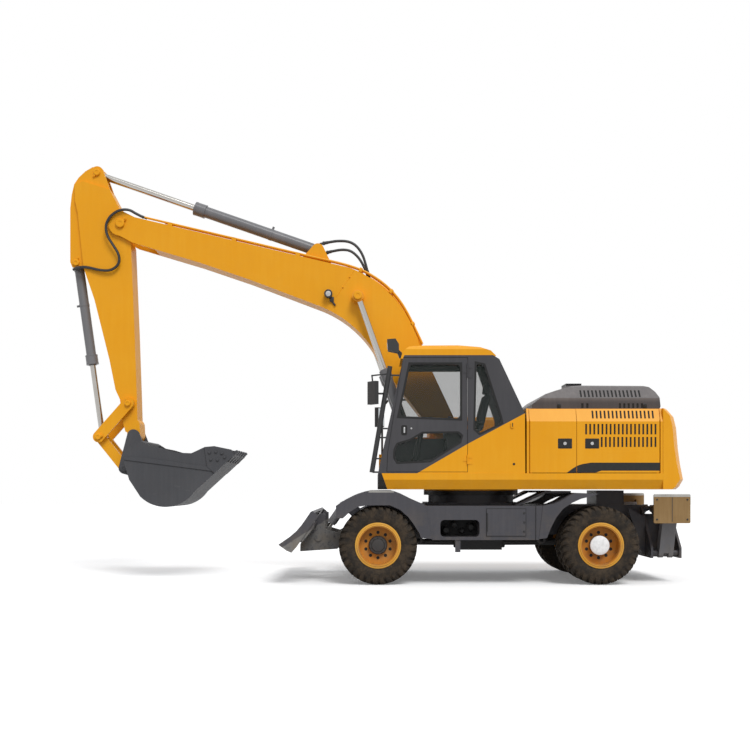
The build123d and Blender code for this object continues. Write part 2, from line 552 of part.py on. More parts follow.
RIGHT_LIGHT = [(900, 2880), (-60, 2880), (-300, 2190), (-300, 1950), (1090, 1950)]
GLASS = 6
# cab door hinges as (z low, z high), their axis just proud of the door's rear edge
HINGES = ((1578, 1698), (2703, 2893))
HINGE_U = 151
HINGE_Y = HALF_WIDTH + 7
HINGE_RADIUS = 11
HINGE_BORE = 7
LEAF = 60
LEAF_THICK = 6


def upright(at, radius, z_low, z_high, mode=Mode.ADD):
    with BuildSketch(Plane.XY.offset(z_low)) as disc:
        with Locations((SWING_X + at[0], at[1])):
            Circle(radius)
    extrude(disc.sketch, amount=z_high - z_low, mode=mode)


def grown(points, amount):
    """The outline pushed outwards by an amount, as a sketch."""
    with BuildSketch(side_plane(0)) as shape:
        with BuildLine():
            Polyline(*points, close=True)
        make_face()
        offset(amount=amount, kind=Kind.INTERSECTION)
    return shape.sketch


def panel(points, y_high, thick, amount=0, mode=Mode.ADD):
    """Side plate of an outline that is grown or shrunk by an amount."""
    extrude(Pos(0, y_high, 0) * grown(points, amount), amount=thick, mode=mode)


with BuildPart() as cab:
    slab(CAB_SIDE, CAB_OUT_Y, CAB_OUT_Y - CAB_IN_Y)
    slab(CAB_INSIDE, CAB_OUT_Y - CAB_WALL, CAB_OUT_Y - CAB_IN_Y - 2 * CAB_WALL, Mode.SUBTRACT)
    panel(DOOR_SIDE, CAB_OUT_Y + 1, CAB_WALL + 2, DOOR_GAP, Mode.SUBTRACT)
    slab(REAR_LIGHT, CAB_OUT_Y + 1, CAB_WALL + 2, Mode.SUBTRACT)
    slab(RIGHT_LIGHT, CAB_IN_Y + CAB_WALL + 1, CAB_WALL + 2, Mode.SUBTRACT)
    glass_low, glass_high = CAB_IN_Y + 70, CAB_OUT_Y - 70
    for opening in ([(1400, 1800), (1300, 2900), (900, 2900), (1120, 1800)],
                    [(-400, 2240), (-700, 2240), (-500, 2860), (-160, 2860)]):
        slab(opening, glass_high, glass_high - glass_low, Mode.SUBTRACT)
    for z_low, z_high in HINGES:
        third = (z_high - z_low) / 3
        for low in (z_low, z_high - third):
            upright((HINGE_U, HINGE_Y), HINGE_RADIUS, low, low + third)
            block(HINGE_U - LEAF, HINGE_U, CAB_OUT_Y - 1, CAB_OUT_Y + LEAF_THICK, low, low + third)
        upright((HINGE_U, HINGE_Y), HINGE_BORE, z_low, z_high)
save(cab, "cab_shell")

with BuildPart() as glass:
    slab([(1231, 1800.3), (1231 - GLASS, 1800.3), (989 - GLASS, 2899.7), (989, 2899.7)], glass_high - 0.3,
         glass_high - glass_low - 0.6)
    panel(RIGHT_LIGHT, CAB_IN_Y + 30, GLASS, -0.3)
    panel(REAR_LIGHT, CAB_OUT_Y - 20, GLASS, -0.3)
    slab([(-582, 2240.3), (-576, 2240.3), (-294, 2859.7), (-300, 2859.7)], glass_high - 0.3,
         glass_high - glass_low - 0.6)
save(glass, "cab_glass")

# side outline of the roof cap, with its visor at the front, then its section across the cab
ROOF_SIDE = [(1024, 2954), (998, 3048), (916, 3115), (730, 3132), (274, 3136), (-17, 3106), (-153, 3061),
             (-220, 2994), (-200, 2980), (980, 2954)]
ROOF_SECTION = [(CAB_OUT_Y, 2900), (CAB_OUT_Y, 3078), (CAB_OUT_Y - 18, 3112), (CAB_OUT_Y - 60, 3137),
                (CAB_IN_Y + 60, 3137), (CAB_IN_Y + 18, 3112), (CAB_IN_Y, 3078), (CAB_IN_Y, 2900)]
with BuildPart() as roof:
    slab(ROOF_SIDE, CAB_OUT_Y, CAB_OUT_Y - CAB_IN_Y)
    cross_section(1100, [("line", ROOF_SECTION)], 1400, Mode.INTERSECT)
    panel(CAB_SIDE, CAB_OUT_Y + 1, CAB_OUT_Y - CAB_IN_Y + 2, 0.3, Mode.SUBTRACT)
save(roof, "cab_roof")

# Work lamp on a bracket at the front left corner of the roof
LAMP_Y = (CAB_OUT_Y - 205, CAB_OUT_Y - 45)
with BuildPart() as cab_lamp:
    slab([(1045, 3040), (1190, 3070), (1200, 3215), (1090, 3224), (1045, 3150)], LAMP_Y[1],
         LAMP_Y[1] - LAMP_Y[0])
    slab([(1000, 2975), (1040, 2975), (1075, 3075), (1045, 3080), (980, 3020)], LAMP_Y[1] - 50, 60)
    panel(ROOF_SIDE, LAMP_Y[1] + 1, LAMP_Y[1] - LAMP_Y[0] + 2, 0.3, Mode.SUBTRACT)
save(cab_lamp, "cab_lamp")

with BuildPart() as door:
    panel(DOOR_SIDE, CAB_OUT_Y, CAB_WALL, 0)
    for light in (UPPER_LIGHT, LOWER_LIGHT):
        slab(light, CAB_OUT_Y + 1, CAB_WALL + 2, Mode.SUBTRACT)
    for z_low, z_high in HINGES:
        low, high = z_low + (z_high - z_low) / 3 + RUN_GAP, z_high - (z_high - z_low) / 3 - RUN_GAP
        upright((HINGE_U, HINGE_Y), HINGE_RADIUS, low, high)
        block(HINGE_U, HINGE_U + LEAF, CAB_OUT_Y - 1, CAB_OUT_Y + LEAF_THICK, low, high)
        upright((HINGE_U, HINGE_Y), HINGE_BORE + RUN_GAP, low - 1, high + 1, Mode.SUBTRACT)
save(door, "cab_door")
with BuildPart() as door_glass:
    for light in (UPPER_LIGHT, LOWER_LIGHT):
        panel(light, CAB_OUT_Y - 20, GLASS, -0.3)
save(door_glass, "cab_door_glass")

# Inside the cab: seat with its pedestal, and the steering column with side consoles
CAB_MID_Y = (CAB_IN_Y + CAB_OUT_Y) / 2
CAB_FLOOR = CAB_BASE + 60
CONSOLE_OUT = (CAB_OUT_Y - CAB_IN_Y) / 2 - CAB_WALL - 60
CONSOLE_IN = CONSOLE_OUT - 95
SEAT_HALF = CONSOLE_IN - 15
with BuildPart() as seat:
    block(-50, 430, CAB_MID_Y - SEAT_HALF, CAB_MID_Y + SEAT_HALF, 1900, 2010)
    slab([(60, 2010.3), (-60, 2010.3), (-190, 2560), (-90, 2580)], CAB_MID_Y + SEAT_HALF - 10,
         2 * (SEAT_HALF - 10))
    block(60, 330, CAB_MID_Y - SEAT_HALF + 60, CAB_MID_Y + SEAT_HALF - 60, CAB_FLOOR + 0.3, 1901)
save(seat, "seat")
with BuildPart() as console:
    block(790, 920, CAB_MID_Y - 70, CAB_MID_Y + 70, CAB_FLOOR + 0.3, CAB_FLOOR + 40)
    along((850, CAB_FLOOR + 12), (700, 2180), CAB_MID_Y, 10, 639.7, 40)
    along((850, CAB_FLOOR + 12), (700, 2180), CAB_MID_Y, 640, 670, 170)
    for side in (1, -1):
        low, high = sorted((CAB_MID_Y + side * CONSOLE_IN, CAB_MID_Y + side * CONSOLE_OUT))
        block(-20, 420, low, high, CAB_FLOOR + 0.3, 2120)
save(console, "cab_controls")

# Handrails and mirrors: a thick black tube ahead of the cab, and a thinner rail over the right side
TUBE_RADIUS = 32
RAIL_RADIUS = 16
TOOL_BOX_TOP = 1760
BAY_TOP = 2310
LEFT_Y = CAB_OUT_Y - 25
RIGHT_Y = -HALF_WIDTH + 60
TUBE = [(1400, DECK_TOP + 10), (1385, 1560), (1163, 2857)]
RIGHT_RAIL = [(1250, TOOL_BOX_TOP + 0.3), (1250, 2500), (1150, 2620), (620, 2620), (500, 2500),
              (500, BAY_TOP + 0.3)]
BRACKETS_Z = (1651, 1926, 2044, 2739)
MIRROR = (60, 170, 300)
MIRROR_TURN = 35
with BuildPart() as rails:
    for y, path, radius in ((LEFT_Y, TUBE, TUBE_RADIUS), (RIGHT_Y, RIGHT_RAIL, RAIL_RADIUS)):
        for start, end in zip(path, path[1:]):
            along(start, end, y, 0, hypot(end[0] - start[0], end[1] - start[1]), radius)
        for u, z in path[1:-1]:
            with Locations((SWING_X + u, y, z)):
                Sphere(radius)
    for z in BRACKETS_Z:
        tube_u = TUBE[1][0] - (z - TUBE[1][1]) * (TUBE[1][0] - TUBE[2][0]) / (TUBE[2][1] - TUBE[1][1])
        slab([(900, z - 10), (tube_u, z - 10), (tube_u, z + 10), (900, z + 10)], CAB_OUT_Y - 15, 20)
    block(1300, 1390, CAB_OUT_Y - 35, CAB_OUT_Y - 15, DECK_TOP + 4, DECK_TOP + 26)
    panel(CAB_SIDE, CAB_OUT_Y + 1, CAB_WALL, 0.3, Mode.SUBTRACT)
    block(1215, 1345, LEFT_Y - 12, LEFT_Y + 12, 2488, 2512)
    along((1180, 2760), (1400, 2735), LEFT_Y, 0, 221, 10)
    along((1400, 2745), (1385, 2600), LEFT_Y, 0, 140, 10)
    for y, u, z, turn in ((LEFT_Y, 1385, 2510, MIRROR_TURN), (RIGHT_Y, 1290, 2350, -MIRROR_TURN)):
        with Locations(Location((SWING_X + u, y, z), (0, 0, turn))):
            Box(*MIRROR)
save(rails, "rails_and_mirrors")

# Engine bay behind the cab: bulkheads, roof rails and posts that carry the doors and the hood
BAY_FRONT_U = -620
BAY_REAR_U = DECK_REAR_U
BEVEL_Z = 2136
BEVEL_IN = 70
DOOR_THICK = 40
DOOR_SEAM_U = -1270
SIDE_Y = HALF_WIDTH - 5
bulkhead = [(SIDE_Y, DECK_TOP + 0.3), (SIDE_Y, BEVEL_Z), (SIDE_Y - BEVEL_IN, BAY_TOP), (-SIDE_Y + BEVEL_IN, BAY_TOP),
            (-SIDE_Y, BEVEL_Z), (-SIDE_Y, DECK_TOP + 0.3)]
inner_frame = [(SIDE_Y - DOOR_THICK - 8, DECK_TOP + 0.3), (SIDE_Y - DOOR_THICK - 8, BEVEL_Z - 20),
               (SIDE_Y - BEVEL_IN - 60, BAY_TOP - 60), (-SIDE_Y + BEVEL_IN + 60, BAY_TOP - 60),
               (-SIDE_Y + DOOR_THICK + 8, BEVEL_Z - 20), (-SIDE_Y + DOOR_THICK + 8, DECK_TOP + 0.3)]
DOOR_SECTION = [(SIDE_Y, DECK_TOP + 8), (SIDE_Y, BEVEL_Z), (SIDE_Y - BEVEL_IN + 3, BAY_TOP - 6),
                (SIDE_Y - BEVEL_IN - DOOR_THICK, BAY_TOP - 46), (SIDE_Y - DOOR_THICK, BEVEL_Z - 10),
                (SIDE_Y - DOOR_THICK, DECK_TOP + 8)]
HOOD_Y = SIDE_Y - 345
HOOD_U = (-2458, -740)
HOOD_HINGE = (HOOD_U[1] + 16, BAY_TOP + 13)
HOOD_HINGE_Y = (550, -550)
HOOD_KNUCKLE = 90
with BuildPart() as bay:
    cross_section(BAY_FRONT_U, [("line", bulkhead)], 30)
    cross_section(BAY_REAR_U + 32, [("line", bulkhead)], 30)
    for side in (1, -1):
        low, high = sorted((side * (HOOD_Y - 60), side * (SIDE_Y - BEVEL_IN - DOOR_THICK - 8)))
        block(BAY_REAR_U + 2, BAY_FRONT_U - 1, low, high, BAY_TOP - 40, BAY_TOP)
        low, high = sorted((side * (SIDE_Y - 180), side * (SIDE_Y - 120)))
        block(DOOR_SEAM_U - 30, DOOR_SEAM_U + 30, low, high, DECK_TOP + 0.3, BAY_TOP - 40)
    block(-760, BAY_FRONT_U - 1, -HOOD_Y + 60, HOOD_Y - 60, BAY_TOP - 40, BAY_TOP)
    # fixed cover of the pump on the right, ahead of the louvred door
    cross_section(BAY_FRONT_U - 29, [("line", [(-y, z) for y, z in DOOR_SECTION])],
                  BAY_FRONT_U - 29 - DOOR_SEAM_U - DOOR_GAP / 2)
    # hinges of the hood on the front rail
    for y in HOOD_HINGE_Y:
        for high in (y + HOOD_KNUCKLE / 2 + 20.5, y - HOOD_KNUCKLE / 2 - 0.5):
            pin(HOOD_HINGE, HINGE_RADIUS, high, 20)
            block(HOOD_HINGE[0] - HINGE_RADIUS, HOOD_HINGE[0] + HINGE_RADIUS, high - 20, high, BAY_TOP - 1,
                  HOOD_HINGE[1])
        pin(HOOD_HINGE, HINGE_BORE, y + HOOD_KNUCKLE / 2 + 1, HOOD_KNUCKLE + 2)
save(bay, "engine_bay_frame")

# Engine, as one block with its sump on the deck, inside the bay
with BuildPart() as engine:
    block(-2150, -1150, -420, 420, DECK_TOP + 0.3, 2200)
save(engine, "engine")

# Side doors with their bevelled top, the rear ones with rows of louvres
# row of slots: (first u, last u, count, z low, z high), the first row on the bevel
LOUVRES = ((-1485, -2271, 16, 2175, 2280), (-1393, -2297, 18, 1966, 2103), (-1596, -2297, 14, 1802, 1933))
SLOT_SHARE = 0.45
SLOT_DEEP = 18


def slot_row(first, last, count, low, high, side):
    """Row of upright slots cut into a panel whose outside runs from low to high, as (y, z)."""
    tall = hypot(high[0] - low[0], high[1] - low[1])
    middle = (side * (low[0] + high[0]) / 2, (low[1] + high[1]) / 2)
    outward = (0, side * (high[1] - low[1]) / tall, (low[0] - high[0]) / tall)
    step = (last - first) / (count - 1)
    with BuildSketch(Plane(origin=(SWING_X, *middle), x_dir=(1, 0, 0), z_dir=outward)) as slots:
        with Locations(*[(first + step * i, 0) for i in range(count)]):
            Rectangle(abs(step) * SLOT_SHARE, tall)
    extrude(slots.sketch, amount=-SLOT_DEEP, mode=Mode.SUBTRACT)


def bevel_point(z, z_low, y_low, z_high, y_high):
    """Point (y, z) of a sloping panel at the height z."""
    return (y_low + (z - z_low) * (y_high - y_low) / (z_high - z_low), z)


def side_door(u_low, u_high, side, hinge_u, louvred):
    cross_section(u_high, [("line", [(side * y, z) for y, z in DOOR_SECTION])], u_high - u_low)
    if louvred:
        for index, (first, last, count, z_low, z_high) in enumerate(LOUVRES):
            if index:
                low, high = (SIDE_Y, z_low), (SIDE_Y, z_high)
            else:
                slope = (BEVEL_Z, SIDE_Y, BAY_TOP - 6, SIDE_Y - BEVEL_IN + 3)
                low, high = bevel_point(z_low, *slope), bevel_point(z_high, *slope)
            slot_row(first, last, count, low, high, side)
    upright((hinge_u, side * SIDE_HINGE_Y), HINGE_PIN, DECK_TOP + 0.3, DECK_TOP + 40)


HINGE_PIN = 12
SIDE_HINGE_Y = SIDE_Y - DOOR_THICK / 2
# the pins stand further in than half a door, so an open door clears the bulkheads' corners
FRONT_PIN_IN = 4
REAR_PIN_IN = 9
FRONT_HINGE_U = BAY_FRONT_U - 36 - DOOR_THICK / 2 - FRONT_PIN_IN
REAR_HINGE_U = BAY_REAR_U + 40 + DOOR_THICK / 2 + REAR_PIN_IN
SIDE_DOORS = (("side_door_left_front", DOOR_SEAM_U + DOOR_GAP / 2, BAY_FRONT_U - 36, 1, FRONT_HINGE_U, False),
              ("side_door_left_rear", BAY_REAR_U + 40, DOOR_SEAM_U - DOOR_GAP / 2, 1, REAR_HINGE_U, True),
              ("side_door_right", BAY_REAR_U + 40, DOOR_SEAM_U - DOOR_GAP / 2, -1, REAR_HINGE_U, True))
for name, u_low, u_high, side, hinge_u, louvred in SIDE_DOORS:
    with BuildPart() as flap:
        side_door(u_low, u_high, side, hinge_u, louvred)
        hinge_edge = flap.edges().filter_by(Axis.Z).sort_by(Axis.X)[-2:] if u_high == BAY_FRONT_U - 36 else None
        edges = hinge_edge or flap.edges().filter_by(Axis.Z).sort_by(Axis.X)[:2]
        fillet([edge for edge in edges if edge.length > 400], DOOR_THICK / 2 - 1)
    save(flap, name)

# Hood over the engine, with louvred flanks, an air intake and its hinge knuckles
HOOD_LOW = BAY_TOP + 0.3
HOOD_BEND = (HOOD_Y, 2470)
HOOD_EDGE = (HOOD_Y - 130, 2630)
HOOD_SECTION = [(HOOD_Y, HOOD_LOW), HOOD_BEND, HOOD_EDGE, (HOOD_Y - 200, 2660), (-HOOD_Y + 200, 2660),
                (-HOOD_EDGE[0], HOOD_EDGE[1]), (-HOOD_Y, HOOD_BEND[1]), (-HOOD_Y, HOOD_LOW)]
HOOD_PROFILE = [(-740, HOOD_LOW), (-742, 2386), (-832, 2453), (-926, 2527), (-1060, 2574), (-1195, 2615),
                (-1289, 2642), (-1400, 2655), (-2270, 2648), (-2337, 2628), (-2405, 2561), (-2445, 2480),
                (-2458, 2359), (-2440, HOOD_LOW)]
# rows of slots in its flank: (first u, last u, count, z low, z high)
HOOD_LOUVRES = ((-1400, -2185, 16, 2483, 2581), (-1412, -1478, 2, 2335, 2398), (-1914, -2208, 6, 2335, 2398))
with BuildPart() as hood:
    cross_section(HOOD_U[1], [("line", HOOD_SECTION)], HOOD_U[1] - HOOD_U[0])
    slab(HOOD_PROFILE, HOOD_Y + 1, 2 * HOOD_Y + 2, Mode.INTERSECT)
    block(-2370, -1020, -HOOD_Y + 60, HOOD_Y - 60, HOOD_LOW - 1, 2450, Mode.SUBTRACT)
    block(-1459, -1249, 250, 600, 2640, 2693)
    slope = (HOOD_BEND[1], HOOD_BEND[0], HOOD_EDGE[1], HOOD_EDGE[0])
    for side in (1, -1):
        for first, last, count, z_low, z_high in HOOD_LOUVRES:
            flat = z_high < HOOD_BEND[1]
            low = (HOOD_Y, z_low) if flat else bevel_point(z_low, *slope)
            high = (HOOD_Y, z_high) if flat else bevel_point(z_high, *slope)
            slot_row(first, last, count, low, high, side)
    for y in HOOD_HINGE_Y:
        pin(HOOD_HINGE, HINGE_RADIUS, y + HOOD_KNUCKLE / 2, HOOD_KNUCKLE)
        block(HOOD_U[1] - 1, HOOD_HINGE[0], y - HOOD_KNUCKLE / 2, y + HOOD_KNUCKLE / 2, HOOD_HINGE[1] - 6,
              HOOD_HINGE[1] + 10)
        pin(HOOD_HINGE, HINGE_BORE + RUN_GAP, y + HOOD_KNUCKLE, 2 * HOOD_KNUCKLE, Mode.SUBTRACT)
save(hood, "hood")

# Right front of the deck: tool box with a step, and the fuel tank behind it
with BuildPart() as tank:
    block(-615, 560, -SIDE_Y, -500, DECK_TOP + 0.3, 2310)
    fillet(tank.edges().filter_by(Axis.X).group_by(Axis.Z)[-1], 60)
    fillet(tank.edges().filter_by(Axis.Z), 40)
save(tank, "fuel_tank")
with BuildPart() as toolbox:
    slab([(565, DECK_TOP + 0.3), (1300, DECK_TOP + 0.3), (1300, TOOL_BOX_TOP), (960, TOOL_BOX_TOP),
          (960, 2010), (565, 2010)], -500, SIDE_Y - 500)
save(toolbox, "tool_box")

# Boom: a bent box of plate, forked at its tip round the arm
BOOM_HALF = 215
FORK_IN = 180
FORK_DEEP = 480
FOOT_RADIUS = 150
TIP_RADIUS = 170
LIFT_BOSS = 90
with BuildPart() as boom:
    with BuildSketch(side_plane(BOOM_Y + BOOM_HALF)) as profile:
        with BuildLine():
            Polyline((134, 2014), (743, 3312))
            ThreePointArc((743, 3312), (1151, 4002), (1714, 4368))
            Polyline((1714, 4368), (4743, 5080), (4862, 5139), (5040, 5132), (5060, 4860), (4960, 4822),
                     (4771, 4721), (3827, 4439), (3123, 4200), (2137, 3827))
            ThreePointArc((2137, 3827), (1574, 3453), (1264, 2988))
            Polyline((1264, 2988), (388, 1858), (134, 2014))
        make_face()
        with Locations(BOOM_FOOT):
            Circle(FOOT_RADIUS)
        with Locations(ARM_PIVOT):
            Circle(TIP_RADIUS)
    extrude(amount=2 * BOOM_HALF)
    block(ARM_PIVOT[0] - FORK_DEEP, ARM_PIVOT[0] + 400, BOOM_Y - FORK_IN, BOOM_Y + FORK_IN, 4300, 5400,
          Mode.SUBTRACT)
    pin(BOOM_FOOT, 50 + RUN_GAP, BOOM_Y + 300, 600, Mode.SUBTRACT)
    pin(ARM_PIVOT, 50, BOOM_Y + BOOM_HALF + 22, 2 * BOOM_HALF + 44)
    for side in (1, -1):
        boss_far = LIFT_Y - LIFT_EYE_WIDTH / 2 - SIDE_GAP
        low, high = sorted((BOOM_Y + side * (BOOM_HALF - 1), BOOM_Y + side * boss_far))
        pin(LIFT_EYE, LIFT_BOSS, high, high - low)
        low, high = sorted((BOOM_Y + side * 84, BOOM_Y + side * 118))
        bar([(*CROWD_BASE, 85), (CROWD_BASE[0] + 220, 4440, 60), (CROWD_BASE[0] - 160, 4370, 60)], high, high - low)
    pin(CROWD_BASE, 40, BOOM_Y + 118, 236)
save(boom, "boom")

# Pipes clamped along the boom's top, and the work lamp on its side
# pipes as (distance from the boom's middle, u where they end) on both sides
PIPES = ((138, 4330), (191, 4640))
PIPE_RADIUS = 15
PIPE_START = (2330, 4547)
PIPE_SLOPE = 0.2349
with BuildPart() as pipes:
    for aside, end_u in PIPES:
        for y in (BOOM_Y + aside, BOOM_Y - aside):
            end = (end_u, PIPE_START[1] + (end_u - PIPE_START[0]) * PIPE_SLOPE)
            along(PIPE_START, end, y, 0, hypot(end[0] - PIPE_START[0], end[1] - PIPE_START[1]), PIPE_RADIUS)
    for u in (2450, 3350, 4250):
        z = 4368 + (u - 1714) * 0.2351
        for side in (1, -1):
            low, high = sorted((BOOM_Y + side * 115, BOOM_Y + side * 212))
            slab([(u - 30, z - 6), (u + 30, z + 8), (u + 22, z + 50), (u - 38, z + 36)], high, high - low)
save(pipes, "boom_pipes")
with BuildPart() as lamp:
    low, high = BOOM_Y + BOOM_HALF, BOOM_Y + BOOM_HALF + 90
    bar([(2010, 3985, 50), (2016, 3992, 50)], high, high - low)
save(lamp, "boom_lamp")

LIFT_REACH = 1500
with BuildPart() as lift_barrels:
    for side in (1, -1):
        barrel(LIFT_BASE, LIFT_EYE, BOOM_Y + side * LIFT_Y, LIFT_REACH, 70, 42, 75, LIFT_EYE_WIDTH, 40, 80)
save(lift_barrels, "boom_cylinder_barrels")
with BuildPart() as lift_rods:
    for side in (1, -1):
        rod(LIFT_BASE, LIFT_EYE, BOOM_Y + side * LIFT_Y, 790, 42, 80, LIFT_EYE_WIDTH)
        low, high = sorted((BOOM_Y + side * LIFT_Y, BOOM_Y + side * (LIFT_Y + LIFT_EYE_WIDTH / 2 + 22)))
        pin(LIFT_EYE, 48, high, high - low)
save(lift_rods, "boom_cylinder_rods")
with BuildPart() as crowd_barrel:
    barrel(CROWD_BASE, CROWD_EYE, BOOM_Y, 1860, 80, 46, 82, 156, 40, 95)
save(crowd_barrel, "arm_cylinder_barrel")
with BuildPart() as crowd_rod:
    rod(CROWD_BASE, CROWD_EYE, BOOM_Y, 1380, 46, 80, 150)
save(crowd_rod, "arm_cylinder_rod")

# Arm: a tapering box with ears for its cylinder, a bracket for the bucket's, and its end boss
ARM_HALF = 165
ARM_SIDE = [(4708, 2020), (4722, 2515), (4757, 3505), (4807, 4700), (4969, 5216), (5111, 5485), (5480, 5600),
            (5606, 5560), (5600, 5343), (5560, 5150), (5478, 4382), (5323, 3929), (5252, 3646), (5111, 3080),
            (5026, 2656), (4962, 2515), (4934, 2232), (4884, 2060)]
# plate that holds the bucket cylinder's base in front and rises round the top to the arm cylinder
ARM_EAR = [(5470, 4382), (5648, 4396), (5676, 4466), (5676, 5230), (5655, 5420), (5620, 5570), (5556, 5664),
           (5462, 5752), (5360, 5812), (5215, 5780), (5111, 5484), (5400, 5300)]
ARM_EAR_IN = 82
ARM_EAR_OUT = 125
with BuildPart() as arm:
    slab(ARM_SIDE, BOOM_Y + ARM_HALF, 2 * ARM_HALF)
    bar([(BUCKET_PIN[0], BUCKET_PIN[1], 88), (BUCKET_PIN[0] + 20, BUCKET_PIN[1] + 150, 100)], BOOM_Y + ARM_HALF,
        2 * ARM_HALF)
    pin(ARM_PIVOT, 120, BOOM_Y + FORK_IN - SIDE_GAP, 2 * (FORK_IN - SIDE_GAP))
    pin(ROCKER_PIN, 85, BOOM_Y + 208, 416)
    pin(ROCKER_PIN, 42, BOOM_Y + 268, 536)
    for side in (1, -1):
        low, high = sorted((BOOM_Y + side * ARM_EAR_IN, BOOM_Y + side * ARM_EAR_OUT))
        slab(ARM_EAR, high, high - low)
        pin(CROWD_EYE, 90, high, high - low)
        low, high = sorted((BOOM_Y + side * ARM_EAR_OUT, BOOM_Y + side * (ARM_EAR_OUT + 18)))
        pin(CROWD_EYE, 45, high, high - low)
        pin(TIP_BASE, 45, high, high - low)
    pin(TIP_BASE, 38, BOOM_Y + ARM_EAR_OUT, 2 * ARM_EAR_OUT)
    pin(ARM_PIVOT, 50 + RUN_GAP, BOOM_Y + 300, 600, Mode.SUBTRACT)
    pin(BUCKET_PIN, 45 + RUN_GAP, BOOM_Y + 300, 600, Mode.SUBTRACT)
save(arm, "arm")

with BuildPart() as tip_barrel:
    barrel(TIP_BASE, TIP_EYE, BOOM_Y, 1440, 68, 40, 78, 152, 38, 85)
save(tip_barrel, "bucket_cylinder_barrel")
with BuildPart() as tip_rod:
    rod(TIP_BASE, TIP_EYE, BOOM_Y, 830, 40, 68, 190)
save(tip_rod, "bucket_cylinder_rod")

# Bucket linkage: a pair of rocker plates outside the arm, and the link down to the bucket
ROCKER_IN = 216
ROCKER_THICK = 32
LINK_IN = 108
LINK_OUT = 168
with BuildPart() as rocker:
    for side in (1, -1):
        low, high = sorted((BOOM_Y + side * ROCKER_IN, BOOM_Y + side * (ROCKER_IN + ROCKER_THICK)))
        bar([(*ROCKER_PIN, 78), (*TIP_EYE, 78)], high, high - low)
        pin(ROCKER_PIN, 42 + RUN_GAP, high + 1, high - low + 2, Mode.SUBTRACT)
        low, high = sorted((BOOM_Y + side * ROCKER_IN, BOOM_Y + side * (ROCKER_IN + ROCKER_THICK + 20)))
        pin(TIP_EYE, 42, high, high - low)
save(rocker, "rocker_plates")
with BuildPart() as link:
    for side in (1, -1):
        low, high = sorted((BOOM_Y + side * LINK_IN, BOOM_Y + side * LINK_OUT))
        bar([(*LINK_PIN, 70), (*TIP_EYE, 70)], high, high - low)
    pin(LINK_PIN, 70, BOOM_Y + LINK_OUT, 2 * LINK_OUT)
    bar([(LINK_PIN[0] + 90, LINK_PIN[1] + 112, 45), (LINK_PIN[0] + 30, LINK_PIN[1] + 40, 45)], BOOM_Y + LINK_OUT,
        2 * LINK_OUT)
    pin(LINK_PIN, 42 + RUN_GAP, BOOM_Y + 300, 600, Mode.SUBTRACT)
save(link, "bucket_link")

# Bucket: curled shell between side plates, with ears, side cutters and five teeth
BUCKET_HALF = 575
SHELL = 26
EAR_IN = 176
EAR_THICK = 34
TEETH = 5
TOOTH_WIDE = 92
TOOTH = [(3243, 1768), (3262, 1790), (3330, 1762), (3430, 1668), (3385, 1618)]
BUCKET_SIDE = [(4571, 1918), (4460, 1849), (4323, 1821), (4185, 1780), (4089, 1752), (3882, 1745), (3703, 1828),
               (3565, 1842), (3331, 1794)]
with BuildPart() as bucket:
    with BuildSketch(side_plane(BOOM_Y + BUCKET_HALF)) as outline:
        with BuildLine():
            Polyline(*BUCKET_SIDE, (3290, 1720), (3841, 1215))
            ThreePointArc((3841, 1215), (4230, 1006), (4585, 1150))
            Polyline((4585, 1150), (4736, 1380), (4832, 1697), (4800, 1800), (4571, 1918))
        make_face()
    extrude(amount=2 * BUCKET_HALF)
    with BuildSketch(side_plane(BOOM_Y + BUCKET_HALF - SHELL)) as cavity:
        with BuildLine():
            Polyline((4520, 2100), (4545, 1835), (4740, 1745), (4798, 1690), (4710, 1393), (4563, 1166))
            ThreePointArc((4563, 1166), (4228, 1034), (3858, 1236))
            Polyline((3858, 1236), (3300, 1748), (3300, 2100), (4520, 2100))
        make_face()
    extrude(amount=2 * (BUCKET_HALF - SHELL), mode=Mode.SUBTRACT)
    for side in (1, -1):
        low, high = sorted((BOOM_Y + side * EAR_IN, BOOM_Y + side * (EAR_IN + EAR_THICK)))
        bar([(*BUCKET_PIN, 88), (*LINK_PIN, 78), (4640, 1850, 30), (4745, 1440, 20)], high, high - low)
        pin(BUCKET_PIN, 45, high if side > 0 else high, high - low)
        low, high = sorted((BOOM_Y + side * (EAR_IN + EAR_THICK - 1), BOOM_Y + side * (EAR_IN + EAR_THICK)))
        for at in (BUCKET_PIN, LINK_PIN):
            pin(at, 45, high, high - low)
        low, high = sorted((BOOM_Y + side * (BUCKET_HALF - 1), BOOM_Y + side * (BUCKET_HALF + 20)))
        slab([(3700, 1830), (3565, 1842), (3331, 1794), (3290, 1720), (3560, 1470), (3660, 1560)], high, high - low)
    pin(BUCKET_PIN, 45, BOOM_Y + EAR_IN + 2, 2 * EAR_IN + 4)
    pin(LINK_PIN, 42, BOOM_Y + EAR_IN + 2, 2 * EAR_IN + 4)
    pitch = (2 * BUCKET_HALF - 150) / (TEETH - 1)
    for i in range(TEETH):
        y = BOOM_Y - BUCKET_HALF + 75 + i * pitch
        slab(TOOTH, y + TOOTH_WIDE / 2, TOOTH_WIDE)
save(bucket, "bucket")
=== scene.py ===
import json
import math

import bmesh
import bpy
from mathutils import Matrix, Vector


